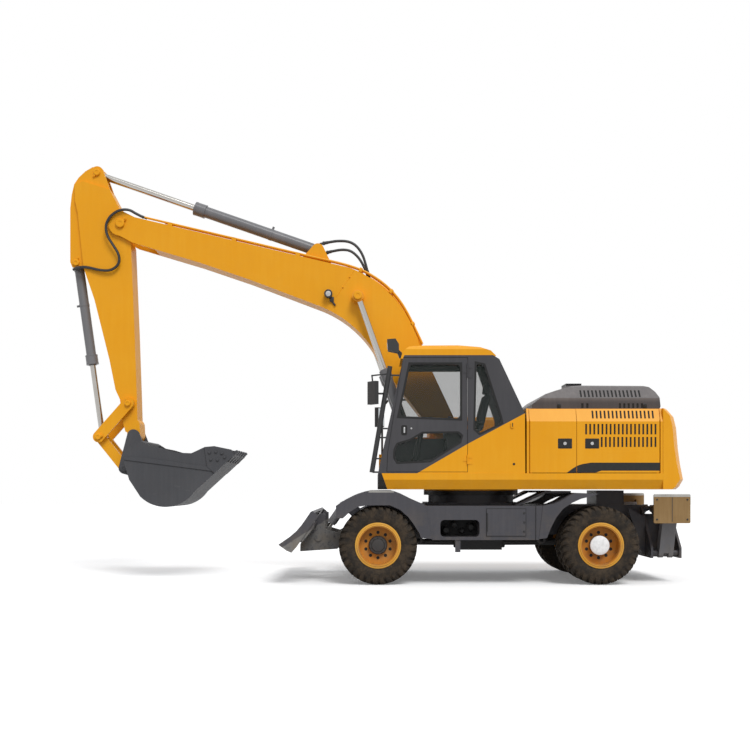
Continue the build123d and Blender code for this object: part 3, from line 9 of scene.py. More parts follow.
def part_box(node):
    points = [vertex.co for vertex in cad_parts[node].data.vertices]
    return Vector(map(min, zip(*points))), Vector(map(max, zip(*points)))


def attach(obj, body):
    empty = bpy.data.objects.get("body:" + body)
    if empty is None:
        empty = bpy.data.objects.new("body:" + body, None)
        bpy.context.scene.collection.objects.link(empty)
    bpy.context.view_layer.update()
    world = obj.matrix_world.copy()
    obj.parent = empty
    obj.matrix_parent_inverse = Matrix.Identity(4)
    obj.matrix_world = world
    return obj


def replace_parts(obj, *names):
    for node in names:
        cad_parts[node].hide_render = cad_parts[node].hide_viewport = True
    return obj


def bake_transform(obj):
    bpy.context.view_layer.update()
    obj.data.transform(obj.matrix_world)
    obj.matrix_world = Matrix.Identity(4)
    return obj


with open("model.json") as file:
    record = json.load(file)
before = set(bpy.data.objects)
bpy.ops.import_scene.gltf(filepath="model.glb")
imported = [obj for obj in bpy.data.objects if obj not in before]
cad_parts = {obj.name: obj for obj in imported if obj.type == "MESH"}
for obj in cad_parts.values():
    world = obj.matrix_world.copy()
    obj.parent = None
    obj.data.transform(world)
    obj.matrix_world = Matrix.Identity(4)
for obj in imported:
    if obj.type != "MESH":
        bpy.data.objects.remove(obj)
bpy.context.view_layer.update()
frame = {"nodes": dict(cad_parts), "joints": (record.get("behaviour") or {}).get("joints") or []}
nodes = frame["nodes"]
scene = bpy.context.scene
joints = {joint["name"]: joint for joint in frame["joints"]}

# The camera stands square to the machine's left side, low and far back, so the lens
# looks level with the tyres' tops and the frame is shifted up to take in the boom.
CAMERA_Y = 14.85
CAMERA_Z = 1.284
CAMERA_X = -0.029
LENS = 50.1
SENSOR = 36
SHIFT_UP = 0.149


def placed(name, data):
    """A new object in the scene."""
    thing = bpy.data.objects.new(name, data)
    scene.collection.objects.link(thing)
    return thing


camera = placed("camera", bpy.data.cameras.new("camera"))
camera.data.lens = LENS
camera.data.sensor_width = SENSOR
camera.data.shift_y = SHIFT_UP
camera.location = (CAMERA_X, CAMERA_Y, CAMERA_Z)
camera.rotation_euler = (math.radians(90), 0, math.radians(180))
scene.camera = camera


# Chassis, side boxes, fenders and axles: thick grey enamel over welded plate, with dried
# mud low down. Its paint is mixed here, and the yellow and dark greys follow the same way.
class Flow:
    """A shader socket that takes part in sums."""

    def __init__(self, tree, socket):
        self.tree = tree
        self.socket = socket

    def node(self, kind, settings=None, **values):
        """A new node: i0, i1 and so on name its sockets by number, other names by their label."""
        node = self.tree.nodes.new(kind)
        for key, value in (settings or {}).items():
            setattr(node, key, value)
        for key, value in values.items():
            slot = node.inputs[int(key[1:])] if key[1:].isdigit() else node.inputs[key]
            if isinstance(value, Flow):
                self.tree.links.new(value.socket, slot)
            else:
                slot.default_value = value
        return node

    def out(self, node, name=0):
        return Flow(self.tree, node.outputs[name])

    def sum(self, operation, other, swap=False):
        first, second = (other, self) if swap else (self, other)
        return self.out(self.node("ShaderNodeMath", {"operation": operation}, i0=first, i1=second))

    def __add__(self, other):
        return self.sum("ADD", other)

    __radd__ = __add__

    def __sub__(self, other):
        return self.sum("SUBTRACT", other)

    def __rsub__(self, other):
        return self.sum("SUBTRACT", other, swap=True)

    def __mul__(self, other):
        return self.sum("MULTIPLY", other)

    __rmul__ = __mul__

    def clamp(self):
        return self.out(self.node("ShaderNodeClamp", None, Value=self))

    def above(self, low, high):
        """0 below low, 1 above high, smooth between."""
        return self.out(self.node("ShaderNodeMapRange", {"interpolation_type": "SMOOTHSTEP"},
                                  Value=self, i1=low, i2=high, i3=0.0, i4=1.0))

    def axis(self, name):
        return self.out(self.node("ShaderNodeSeparateXYZ", None, Vector=self), name)

    def stretched(self, x, y, z):
        return self.out(self.node("ShaderNodeMapping", None, Vector=self, Scale=(x, y, z)))

    def noise(self, scale, detail=3.0, rough=0.5):
        return self.out(self.node("ShaderNodeTexNoise", None, Vector=self, Scale=scale,
                                  Detail=detail, Roughness=rough))

    def pick(self, first, second):
        """The first colour where this mask is 0, the second where it is 1."""
        return self.out(self.node("ShaderNodeMix", {"data_type": "RGBA"}, i0=self, i6=first,
                                  i7=second), 2)

    def bump(self, strength, distance):
        return self.out(self.node("ShaderNodeBump", None, Height=self, Strength=strength,
                                  Distance=distance), "Normal")


def surface(name, **constants):
    """A new material, its shader with constant sockets set, and its object coordinates."""
    material = bpy.data.materials.new(name)
    material.use_nodes = True
    tree = material.node_tree
    shader = tree.nodes["Principled BSDF"]
    for key, value in constants.items():
        shader.inputs[key.replace("_", " ")].default_value = value
    return material, shader, Flow(tree, tree.nodes.new("ShaderNodeTexCoord").outputs["Object"])


def feed(shader, **sockets):
    """Links each flow to the shader's socket of that name."""
    for key, value in sockets.items():
        value.tree.links.new(value.socket, shader.inputs[key.replace("_", " ")])


DRIED_MUD = (0.24, 0.185, 0.12, 1)


def enamel(name, colour, pale, mud_top, mud, rough=0.42, coat=0.1, splits=()):
    """Sprayed paint: slow changes of tone, rain streaks, orange peel, and mud up to a height.

    Each split is (mask, colour, pale) for a part of the piece that is painted differently."""
    material, shader, place = surface(name, Specular_IOR_Level=0.18, Coat_Roughness=0.25)
    streaks = place.stretched(9, 9, 0.7).noise(2.2, 5.0, 0.6)
    worn = (place.noise(0.9, 4.0, 0.55) * 0.65 + streaks * 0.35).above(0.38, 0.70)
    low = 1 - place.axis("Z").above(mud_top * 0.2, mud_top)
    film = (low * 0.85 + 0.06) * place.noise(5.0, 7.0, 0.68).above(0.40, 0.66) * mud
    paint = worn.pick(colour, pale)
    for mask, other, other_pale in splits:
        paint = mask(place).pick(paint, worn.pick(other, other_pale))
    feed(shader, Base_Color=film.clamp().pick(paint, DRIED_MUD),
         Roughness=(film * 0.45 + place.noise(130.0, 2.0) * 0.08 + rough).clamp(),
         Coat_Weight=(1 - film).clamp() * coat, Normal=place.noise(60.0, 2.0).bump(0.05, 0.002))
    return material


def plain(name, colour, rough, metal=0.0, grain=0.1):
    """One colour with a slight cloudiness."""
    material, shader, place = surface(name, Metallic=metal)
    cloud = place.noise(24.0, 4.0, 0.6).above(0.3, 0.7)
    pale = tuple(part * (1 + 2 * grain) + 0.003 for part in colour[:3]) + (1,)
    feed(shader, Base_Color=cloud.pick(colour, pale), Roughness=(cloud * grain + rough).clamp())
    return material


def painted(material, *names):
    """Gives nodes of the model this material as their only one."""
    for name in names:
        nodes[name].data.materials.clear()
        nodes[name].data.materials.append(material)


FRAME_GREY = (0.064, 0.063, 0.072, 1)
FRAME_PALE = (0.082, 0.080, 0.089, 1)
painted(enamel("chassis_grey_paint", FRAME_GREY, FRAME_PALE, 1.0, 0.35),
        "chassis_frame", "side_boxes", "lashing_eyes")
black = plain("black_parts", (0.011, 0.011, 0.012, 1), 0.5)
rubber = plain("black_rubber", (0.006, 0.006, 0.006, 1), 0.75)
iron = plain("cast_iron", (0.035, 0.034, 0.034, 1), 0.6, 0.2)
painted(iron, "driveline", "axle_fixed", "axle_steered", "knuckle_left", "knuckle_right", "engine")


def strip_top(place):
    """1 on the pale non-slip strip along the top of the front fenders."""
    ahead = place.axis("X").above(-0.28, -0.27) * (1 - place.axis("X").above(0.05, 0.06))
    return ahead * place.axis("Z").above(1.205, 1.212)


painted(enamel("fender_paint", FRAME_GREY, FRAME_PALE, 1.1, 0.55,
               splits=[(strip_top, (0.30, 0.29, 0.27, 1), (0.40, 0.39, 0.36, 1))]), "fenders")

# Trim of the side boxes: seams of their doors, hinges and bolts, and the pump that shows in
# the foot holes. Small pieces are shaped in the machine's own frame, then ride a body; side
# outlines are (ahead of the swing axis, height), as they read in the photograph.
SWING = joints["slew"]["pos_m"][0]


def box(shape, low, high, edge=0.0):
    """Box between two opposite corners, with its edges eased."""
    low, high = Vector(map(min, low, high)), Vector(map(max, low, high))
    place = Matrix.Translation((low + high) / 2) @ Matrix.Diagonal((*(high - low), 1))
    corners = bmesh.ops.create_cube(shape, size=1, matrix=place)["verts"]
    if edge:
        edges = list({line for corner in corners for line in corner.link_edges})
        bmesh.ops.bevel(shape, geom=edges, offset=edge, segments=2, profile=0.5,
                        affect="EDGES", material=-1)


def thicken(shape, faces, way):
    """Closed solid from flat faces pushed out along Y."""
    grown = bmesh.ops.extrude_face_region(shape, geom=faces)["geom"]
    bmesh.ops.translate(shape, vec=(0, way, 0),
                        verts=[part for part in grown if isinstance(part, bmesh.types.BMVert)])


def plate(shape, outline, y_low, y_high):
    """Flat plate of a side outline."""
    face = shape.faces.new([shape.verts.new((SWING + u, y_low, z)) for u, z in outline])
    thicken(shape, [face], y_high - y_low)


def turned(shape, profile, centre, axis, steps=48, closed=True):
    """Round piece spun from (distance along the axis, radius) pairs: closed ends run in to the
    axis, and without them the profile is a loop, as of a ring."""
    along = Vector(axis).normalized()
    aside = along.orthogonal().normalized()
    if closed:
        profile = [(profile[0][0], 0.0), *profile, (profile[-1][0], 0.0)]
    verts = [shape.verts.new(Vector(centre) + along * far + aside * radius)
             for far, radius in profile]
    edges = [shape.edges.new(pair) for pair in zip(verts, verts[1:])]
    if not closed:
        edges.append(shape.edges.new((verts[-1], verts[0])))
    bmesh.ops.spin(shape, geom=verts + edges, cent=centre, axis=along, angle=math.tau, steps=steps,
                   use_merge=True)


def rod(shape, start, end, radius, steps=20):
    """Round bar between two points."""
    start, end = Vector(start), Vector(end)
    turned(shape, [(0, radius), ((end - start).length, radius)], start, end - start, steps)


def bolt(shape, foot, axis, size):
    """Hexagon head of this radius on its washer."""
    turned(shape, [(0, size * 1.3), (size * 0.2, size * 1.3)], foot, axis, 16)
    turned(shape, [(size * 0.2, size), (size * 0.8, size), (size * 0.95, size * 0.8)], foot, axis, 6)


WELD = 0.00002


def made(shape, name, body, material, sharp=35):
    """The finished mesh as a piece that rides on a body, or on none."""
    bmesh.ops.remove_doubles(shape, verts=shape.verts, dist=WELD)
    bmesh.ops.recalc_face_normals(shape, faces=shape.faces)
    mesh = bpy.data.meshes.new(name)
    shape.to_mesh(mesh)
    shape.free()
    mesh.shade_smooth()
    mesh.set_sharp_from_angle(angle=math.radians(sharp))
    mesh.materials.append(material)
    piece = placed(name, mesh)
    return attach(piece, body) if body else piece


BOX_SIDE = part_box("side_boxes")[1].y
# seams as (ahead, height) to (ahead, height): the box's end, then the four sides of its door
SEAMS = ((-0.737, 0.592, -0.737, 1.034), (-0.095, 0.642, -0.095, 0.998),
         (-0.607, 0.642, -0.607, 0.998), (-0.607, 0.998, -0.095, 0.998),
         (-0.607, 0.642, -0.095, 0.642))
SEAM_HALF = 0.003
SEAM_DEEP = 0.0085
PROUD = 0.0006
HINGE_AHEAD = -0.105
HINGE_RADIUS = 0.007
LOCK_AHEAD = -0.585
LOCK_HEIGHTS = (0.70, 0.82, 0.94)
LOCK_SIZE = 0.011
PUMP_Y = 0.938
# ports of the pump: (ahead, height, radius)
PORTS = ((0.09, 0.75, 0.055), (0.21, 0.70, 0.035), (0.31, 0.78, 0.045), (0.42, 0.71, 0.055))
seams = bmesh.new()
trim = bmesh.new()
pump = bmesh.new()
for side in (1, -1):
    for u_low, z_low, u_high, z_high in SEAMS:
        box(seams, (SWING + u_low - SEAM_HALF, side * (BOX_SIDE - SEAM_DEEP), z_low - SEAM_HALF),
            (SWING + u_high + SEAM_HALF, side * (BOX_SIDE + PROUD), z_high + SEAM_HALF))
    for z in LOCK_HEIGHTS:
        bolt(trim, (SWING + LOCK_AHEAD, side * BOX_SIDE, z), (0, side, 0), LOCK_SIZE)
    hinge_y = side * (BOX_SIDE + 0.006)
    rod(trim, (SWING + HINGE_AHEAD, hinge_y, LOCK_HEIGHTS[0]),
        (SWING + HINGE_AHEAD, hinge_y, LOCK_HEIGHTS[-1]), HINGE_RADIUS, 12)
    box(pump, (SWING, side * (PUMP_Y - 0.006), 0.634), (SWING + 0.502, side * PUMP_Y, 0.846))
    for u, z, radius in PORTS:
        turned(pump, [(0, radius), (0.06, radius), (0.075, radius * 0.7), (0.13, radius * 0.6)],
               (SWING + u, side * PUMP_Y, z), (0, side, 0), 20)
made(seams, "box_seams", "chassis", rubber)
made(trim, "box_hinges_and_bolts", "chassis", black)
made(pump, "pump_in_foot_holes", "chassis", rubber)

# Wheels: lugged tyres caked with brown dust, orange rims with a brighter lock ring, a dark hub
# with ten stud holes, each painted as a thin black disc of shade, and a pale cap on each rear hub.
# The plain tyres are replaced.
tyre_rubber, shader, place = surface("tyre_rubber", Specular_IOR_Level=0.25)
cake = place.noise(9.0, 6.0, 0.7).above(0.38, 0.64)
specks = place.noise(70.0, 3.0, 0.6)
dusty = (cake * 0.8 + specks * 0.35 - 0.08).clamp()
feed(shader, Base_Color=dusty.pick((0.0125, 0.0105, 0.009, 1), (0.066, 0.048, 0.032, 1)),
     Roughness=(cake * 0.15 + 0.78).clamp(), Normal=specks.bump(0.35, 0.003))
# half of the casing's section as (from the tread's middle, radius), bead to crown
CASING = ((0.104, 0.262), (0.112, 0.285), (0.114, 0.302), (0.126, 0.322), (0.1335, 0.350),
          (0.1355, 0.380), (0.1325, 0.418), (0.1225, 0.452), (0.105, 0.476), (0.075, 0.486),
          (0.0, 0.489))
# a lug from the middle to the sidewall: (from the middle, outer radius, depth, turn ahead in pitches)
LUG = ((0.006, 0.5135, 0.030, 0.80), (0.060, 0.5140, 0.030, 0.42), (0.104, 0.5065, 0.034, 0.16),
       (0.1265, 0.484, 0.034, 0.05), (0.1345, 0.452, 0.022, 0.0), (0.1358, 0.416, 0.008, 0.0))
LUGS = 32
# half of a lug's width, and how much wider its foot is, in pitches
LUG_WIDE = 0.27
LUG_FLARE = 0.04
TREAD_Y = (0.790, 1.110)


def tyre(shape, axle, middle):
    """Casing spun about the wheel's axis, with chevron lugs repeated round it in two rows."""
    centre = Vector((axle.x, middle, axle.z))
    section = [*CASING, *[(-far, radius) for far, radius in CASING[-2::-1]]]
    turned(shape, section, centre, (0, 1, 0), 96, closed=False)
    pitch = math.tau / LUGS
    up = Vector((0, 1, 0)).orthogonal().normalized()
    for row in (1, -1):
        rings = []
        for far, radius, deep, ahead in LUG:
            turn = pitch * (ahead + (0.5 if row > 0 else 0.0))
            corners = ((radius, -LUG_WIDE), (radius, LUG_WIDE),
                       (radius - deep, LUG_WIDE + LUG_FLARE), (radius - deep, -LUG_WIDE - LUG_FLARE))
            rings.append([shape.verts.new(centre + Vector((0, row * far, 0))
                                          + Matrix.Rotation(turn + pitch * wide, 3, "Y") @ up * reach)
                          for reach, wide in corners])
        loops = [[shape.edges.new((ring[i - 1], ring[i])) for i in range(4)] for ring in rings]
        faces = [shape.faces.new(rings[0]), shape.faces.new(rings[-1])]
        for first, second in zip(loops, loops[1:]):
            faces += bmesh.ops.bridge_loops(shape, edges=first + second)["faces"]
        bmesh.ops.spin(shape, geom=faces, cent=centre, axis=(0, 1, 0), angle=math.tau - pitch,
                       steps=LUGS - 1, use_duplicate=True)


rim_paint = enamel("rim_paint", (0.50, 0.19, 0.020, 1), (0.62, 0.27, 0.04, 1), 1.1, 0.5, 0.5)
ring_paint = enamel("lock_ring_paint", (0.70, 0.33, 0.035, 1), (0.78, 0.41, 0.06, 1), 0.9, 0.35,
                    0.45)
hub_grey = plain("hub_grey", (0.022, 0.019, 0.018, 1), 0.55)
cap_white = plain("pale_hub_cap", (0.80, 0.80, 0.80, 1), 0.4)
DISC_BACK = 0.152
STUDS = 10
STUD_RING = 0.1675
STUD_HOLE = 0.022
HUB_BOLT_RING = 0.098
# lock rings: (behind the rim's face, ahead of it, outer radius, width)
LOCK_RINGS = ((0.014, 0.0006, 0.3006, 0.020), (0.030, 0.0035, 0.276, 0.014))
for end, hand in (("front", "left"), ("front", "right"), ("rear", "left"), ("rear", "right")):
    body = f"wheel_{end}_{hand}"
    side = 1 if hand == "left" else -1
    axle = Vector(joints[body + "_spin"]["pos_m"])
    axle.y = 0
    painted(rim_paint, f"rims_{end}_{hand}")
    tread = bmesh.new()
    for middle in TREAD_Y:
        tyre(tread, axle, side * middle)
    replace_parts(made(tread, f"lugged_tyres_{end}_{hand}", body, tyre_rubber, 40), f"tyres_{end}_{hand}")
    low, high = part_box(f"rims_{end}_{hand}")
    face = high.y if side > 0 else -low.y
    ring = bmesh.new()
    for back, front, outer, wall in LOCK_RINGS:
        turned(ring, [(face - back, outer), (face + front, outer),
                      (face + front + 0.003, outer - 0.005), (face + front + 0.003, outer - wall),
                      (face - back, outer - wall)], axle, (0, side, 0), 72, closed=False)
    made(ring, f"lock_ring_{end}_{hand}", body, ring_paint, 30)
    disc = face - DISC_BACK
    hub = bmesh.new()
    turned(hub, [(disc - 0.002, 0.124), (disc + 0.050, 0.122), (disc + 0.060, 0.112),
                 (disc + 0.062, 0.086), (disc + 0.074, 0.080), (disc + 0.079, 0.060)],
           axle, (0, side, 0))
    # Painted shade: a thin black disc where each stud hole is, standing in for the shade inside it.
    holes = bmesh.new()
    for i in range(STUDS):
        turn = math.tau * (i + 0.5) / STUDS
        spoke = Vector((math.cos(turn), 0, math.sin(turn)))
        turned(holes, [(0, STUD_HOLE), (0.0012, STUD_HOLE)],
               axle + spoke * STUD_RING + Vector((0, side * disc, 0)), (0, side, 0), 18)
        bolt(hub, axle + spoke * HUB_BOLT_RING + Vector((0, side * (disc + 0.061), 0)),
             (0, side, 0), 0.010)
    made(hub, f"hub_{end}_{hand}", body, hub_grey, 30)
    made(holes, f"stud_hole_shade_{end}_{hand}", body, rubber)
    if end == "rear":
        cap = bmesh.new()
        turned(cap, [(disc + 0.060, 0.127), (disc + 0.086, 0.125), (disc + 0.096, 0.10),
                     (disc + 0.099, 0.04)], axle, (0, side, 0))
        made(cap, f"hub_cap_{end}_{hand}", body, cap_white, 50)


# Levelling blade and outriggers: the same grey, scraped bright along the blade's lower edge,
# paler legs, and two pads in bare khaki steel with a paler grey strip along their tops.
def scraped(place):
    """1 in patches near the blade's lower edge, which slants in the side view."""
    slant = place.axis("Z") + place.axis("X") * 0.62 + place.noise(16.0, 4.0) * 0.03
    return (1 - slant.above(1.235, 1.250)) * place.noise(20.0, 5.0, 0.6).above(0.25, 0.5)


painted(enamel("blade_paint", FRAME_GREY, FRAME_PALE, 1.0, 0.6,
               splits=[(scraped, (0.15, 0.145, 0.14, 1), (0.22, 0.215, 0.21, 1))]), "blade")
painted(enamel("leg_paint", (0.180, 0.177, 0.185, 1), (0.225, 0.221, 0.230, 1), 0.8, 0.4),
        "outrigger_leg_left", "outrigger_leg_right")


def pad_top(place):
    """1 on the strip along the top of a pad."""
    return place.axis("Z").above(1.150, 1.153)


painted(enamel("pad_steel", (0.24, 0.145, 0.058, 1), (0.34, 0.22, 0.10, 1), 0.6, 0.2, 0.7, 0.0,
               splits=[(pad_top, (0.42, 0.41, 0.38, 1), (0.55, 0.54, 0.51, 1))]),
        "outrigger_foot_left", "outrigger_foot_right")
for hand, side in (("left", 1), ("right", -1)):
    low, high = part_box(f"outrigger_foot_{hand}")
    face = high.y if side > 0 else low.y
    studs = bmesh.new()
    for x in (low.x + 0.04, high.x - 0.04):
        for z in (low.z + 0.05, high.z - 0.07):
            bolt(studs, (x, face, z), (0, side, 0), 0.010)
    middle = (low.x + high.x) / 2
    box(studs, (middle - 0.004, face, low.z + 0.02),
        (middle + 0.004, face + side * 0.002, high.z - 0.04))
    made(studs, f"pad_studs_{hand}", f"outrigger_{hand}", iron)

# Deck, doors, tank, tool box and tail: yellow enamel. The deck's front end is black ahead of
# the skirt's slanting edge, and so is the ring under it that stands on the slew bearing.
YELLOW = (0.83, 0.352, 0.006, 1)
YELLOW_PALE = (0.86, 0.392, 0.014, 1)
BLACK_PAINT = (0.011, 0.011, 0.012, 1)
BLACK_WORN = (0.024, 0.023, 0.023, 1)
yellow = enamel("yellow_paint", YELLOW, YELLOW_PALE, 1.6, 0.3)
painted(yellow, "counterweight", "tool_box", "fuel_tank", "side_door_left_front", "side_door_left_rear",
        "side_door_right", "engine_bay_frame")


def deck_front(place):
    """1 ahead of the skirt's slanting front edge."""
    edge = SWING + 1.189
    return (place.axis("X") - edge - (place.axis("Z") - 1.232) * 0.356).above(0.0, 0.003)


def deck_ring(place):
    """1 on the ring below the deck's floor."""
    return 1 - place.axis("Z").above(1.226, 1.230)


painted(enamel("deck_paint", YELLOW, YELLOW_PALE, 1.6, 0.3,
               splits=[(deck_front, BLACK_PAINT, BLACK_WORN), (deck_ring, BLACK_PAINT, BLACK_WORN)]),
        "deck")

# Latches of the left side doors: black pressed plates in the doors' skin, each with a lip along
# its lower edge and a round lock of bright steel in its middle.
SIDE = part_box("side_door_left_rear")[1].y


def rounded(outline, radius, inset=0.0):
    """Side outline moved inwards by inset, with an arc of six steps at each outward corner."""
    points = [Vector(point) for point in outline]
    count = len(points)
    area = sum(points[i - 1].x * points[i].y - points[i].x * points[i - 1].y for i in range(count))
    hand = 1 if area > 0 else -1
    path = []
    for i in range(count):
        tip = points[i]
        before = (tip - points[i - 1]).normalized()
        after = (points[(i + 1) % count] - tip).normalized()
        inward = (Vector((-before.y, before.x)) + Vector((-after.y, after.x))).normalized() * hand
        half = before.angle(after) / 2
        tip = tip + inward * inset / math.cos(half)
        if before.cross(after) * hand > 0:
            reach = radius * math.tan(half)
            centre = tip + inward * radius / math.cos(half)
            first, last = tip - before * reach, tip + after * reach
            path += [centre + (first.lerp(last, step / 6) - centre).normalized() * radius
                     for step in range(7)]
        else:
            path += [tip] * 7
    return [(point.x, point.y) for point in path]


def seal(shape, outer, inner, y_low, y_high):
    """Flat ring between two outlines of as many points."""
    edges = []
    for outline in (outer, inner):
        verts = [shape.verts.new((SWING + u, y_low, z)) for u, z in outline]
        verts = [vert for i, vert in enumerate(verts) if (vert.co - verts[i - 1].co).length > WELD / 2]
        edges += [shape.edges.new((verts[i - 1], verts[i])) for i in range(len(verts))]
    thicken(shape, bmesh.ops.bridge_loops(shape, edges=edges)["faces"], y_high - y_low)


def oblong(u_low, z_low, u_high, z_high):
    """Outline of an upright rectangle."""
    return [(u_low, z_low), (u_high, z_low), (u_high, z_high), (u_low, z_high)]


steel = plain("bright_steel", (0.40, 0.40, 0.40, 1), 0.32, 0.9)
LATCH_FACE = SIDE + 0.0018
for u_low, u_high, body in ((-1.209, -1.026, "side_door_left_front"),
                            (-1.563, -1.380, "side_door_left_rear")):
    latch = bmesh.new()
    plate(latch, rounded(oblong(u_low, 1.782, u_high, 1.913), 0.010), SIDE, LATCH_FACE)
    plate(latch, oblong(u_low + 0.012, 1.794, u_high - 0.012, 1.80), LATCH_FACE, SIDE + 0.005)
    made(latch, f"latch_plate_{body}", body, rubber)
    knob = bmesh.new()
    turned(knob, [(0, 0.023), (0.005, 0.021), (0.006, 0.012)],
           (SWING + (u_low + u_high) / 2, LATCH_FACE, 1.848), (0, 1, 0), 24)
    made(knob, f"latch_lock_{body}", body, steel)

# Painted shade in the louvres of the rear doors and of the hood's flanks: flat dark plates, set a
# little way into the slots of the pressed panels, stand in for the shade inside them.
HOOD_SIDE = 0.9
# panel faces, as two points of their section: (z, y, z, y)
BEVEL = (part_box("side_door_left_rear")[1].z, 1.178, 2.136, SIDE)
FLANK = (2.630, 0.770, 2.470, 0.900)
FLAT = (3.0, SIDE, 1.0, SIDE)
HOOD_FLAT = (3.0, HOOD_SIDE, 1.0, HOOD_SIDE)
# rows of slots as in the panels: (first, last, count, low, high, face)
DOOR_ROWS = ((-1.485, -2.271, 16, 2.175, 2.280, BEVEL), (-1.393, -2.297, 18, 1.966, 2.103, FLAT),
             (-1.596, -2.297, 14, 1.802, 1.933, FLAT))
HOOD_ROWS = ((-1.400, -2.185, 16, 2.483, 2.581, FLANK),
             (-1.412, -1.478, 2, 2.335, 2.398, HOOD_FLAT),
             (-1.914, -2.208, 6, 2.335, 2.398, HOOD_FLAT))
SLOT_SHARE = 0.45
SHADE_DEEP = (0.008, 0.0165)
for body, side, rows in (("side_door_left_rear", 1, DOOR_ROWS), ("side_door_right", -1, DOOR_ROWS),
                         ("hood", 1, HOOD_ROWS), ("hood", -1, HOOD_ROWS)):
    # Each slot gets a dark plate at its floor as painted shade.
    slot_shade = bmesh.new()
    for first, last, count, z_low, z_high, (z_top, y_top, z_foot, y_foot) in rows:
        step = (last - first) / (count - 1)
        half = abs(step) * SLOT_SHARE / 2 - 0.0008
        for i in range(count):
            for corner in bmesh.ops.create_cube(slot_shade, size=2)["verts"]:
                z = z_high - 0.001 if corner.co.z > 0 else z_low + 0.001
                out = y_foot + (z - z_foot) * (y_top - y_foot) / (z_top - z_foot)
                deep = SHADE_DEEP[corner.co.y < 0]
                corner.co = (SWING + first + step * i + half * corner.co.x, side * (out - deep), z)
    made(slot_shade, f"louvre_slot_shade_{body}_{'left' if side > 0 else 'right'}", body, rubber)

# Black flash that sweeps along the doors' lower edge to the tail: a thin film on the enamel,
# cut at the seam between the doors.
FLASH_TOP = ((-1.144, 1.4685), (-1.215, 1.520), (-1.2655, 1.552), (-1.2745, 1.557),
             (-1.340, 1.579), (-1.4586, 1.5986), (-2.354, 1.5986))
FLASH_LOW = ((-1.144, 1.4684), (-1.215, 1.4684), (-1.2655, 1.4684), (-1.2745, 1.4684),
             (-1.524, 1.4700), (-1.5896, 1.4937), (-2.354, 1.4937))
FLASH_THICK = 0.0008
for name, body, side, part in (("flash_left_front", "side_door_left_front", 1, slice(0, 3)),
                               ("flash_left_rear", "side_door_left_rear", 1, slice(3, 7)),
                               ("flash_right_front", "upper", -1, slice(0, 3)),
                               ("flash_right_rear", "side_door_right", -1, slice(3, 7))):
    flash = bmesh.new()
    plate(flash, [*FLASH_TOP[part], *FLASH_LOW[part][::-1]], side * SIDE,
          side * (SIDE + FLASH_THICK))
    made(flash, name, body, rubber)


# Hood: pressed sheet in warm grey enamel, its upper half painted paler as a highlight of the light
# from above, with a black intake cap. Four rubber catches on its flanks hold it down.
def intake_cap(place):
    """1 on the intake that stands over the hood's top."""
    return (place.axis("Z") - 2.661).above(0.0, 0.002)


def painted_top_highlight(place):
    """1 on the upper half of the hood, which is painted paler as a highlight of the light from above."""
    return place.axis("Z").above(2.40, 2.50)


# The paler split on the hood's upper half is a painted highlight.
painted(enamel("hood_paint", (0.062, 0.059, 0.064, 1), (0.085, 0.080, 0.084, 1), 2.2, 0.1, 0.45,
               splits=[(painted_top_highlight, (0.145, 0.135, 0.135, 1), (0.21, 0.195, 0.19, 1)),
                       (intake_cap, BLACK_PAINT, BLACK_WORN)]), "hood")
CATCH_HALF = 0.022
catches = bmesh.new()
for u in (-1.10, -2.25):
    for side in (1, -1):
        box(catches, (SWING + u - CATCH_HALF, side * (HOOD_SIDE + 0.0005), 2.325),
            (SWING + u + CATCH_HALF, side * (HOOD_SIDE + 0.014), 2.385), 0.004)
made(catches, "hood_catches", "hood", rubber)

# Engine, seen with a door open: its block gets six ports, a rail and a filter on each side.
# They stand on the block's two faces that the doors show.
low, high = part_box("engine")
CYLINDERS = 6
PORT_PITCH = 0.13
RAIL = 0.022
fittings = bmesh.new()
for side in (1, -1):
    for i in range(CYLINDERS):
        turned(fittings, [(0, 0.045), (0.03, 0.045), (0.04, 0.03)],
               (low.x + 0.14 + PORT_PITCH * i, side * high.y, 1.92), (0, side, 0), 20)
    rail_y = side * (high.y + RAIL)
    rod(fittings, (low.x + 0.1, rail_y, 2.02), (high.x - 0.1, rail_y, 2.02), RAIL)
    turned(fittings, [(0, 0.060), (0.02, 0.070), (0.18, 0.070), (0.20, 0.05)],
           (high.x - 0.30, side * (high.y + 0.068), 1.60), (0, 0, 1), 28)
made(fittings, "engine_fittings", "upper", black)

# Cab: dark grey shell and door over a yellow sill that rises to the rear, a yellow roof,
# and black rubber seals round every window of the left side.
CAB_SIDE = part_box("cab_door_glass")[1].y + 0.020
# corners of the sill's slanting edge, as (ahead of the swing axis, height)
SILL = ((0.796, 1.4675), (0.1536, 1.841), (-0.5935, 2.2408))
DARK = (0.056, 0.055, 0.060, 1)
DARK_PALE = (0.074, 0.072, 0.078, 1)


def under_sill(place):
    """1 on the outer skin below the slanting line between yellow and grey."""
    ahead = place.axis("X") - SWING
    lines = []
    for (u_first, z_first), (u_second, z_second) in zip(SILL, SILL[1:]):
        lines.append((ahead - u_first) * ((z_second - z_first) / (u_second - u_first)) + z_first)
    inside = 1 - place.axis("Y").above(0.362, 0.364)
    outside = place.axis("Y").above(1.222, 1.224).sum("MAXIMUM", inside)
    lower = lines[0].sum("MINIMUM", lines[1])
    return (1 - (place.axis("Z") - lower).above(-0.002, 0.002)) * outside


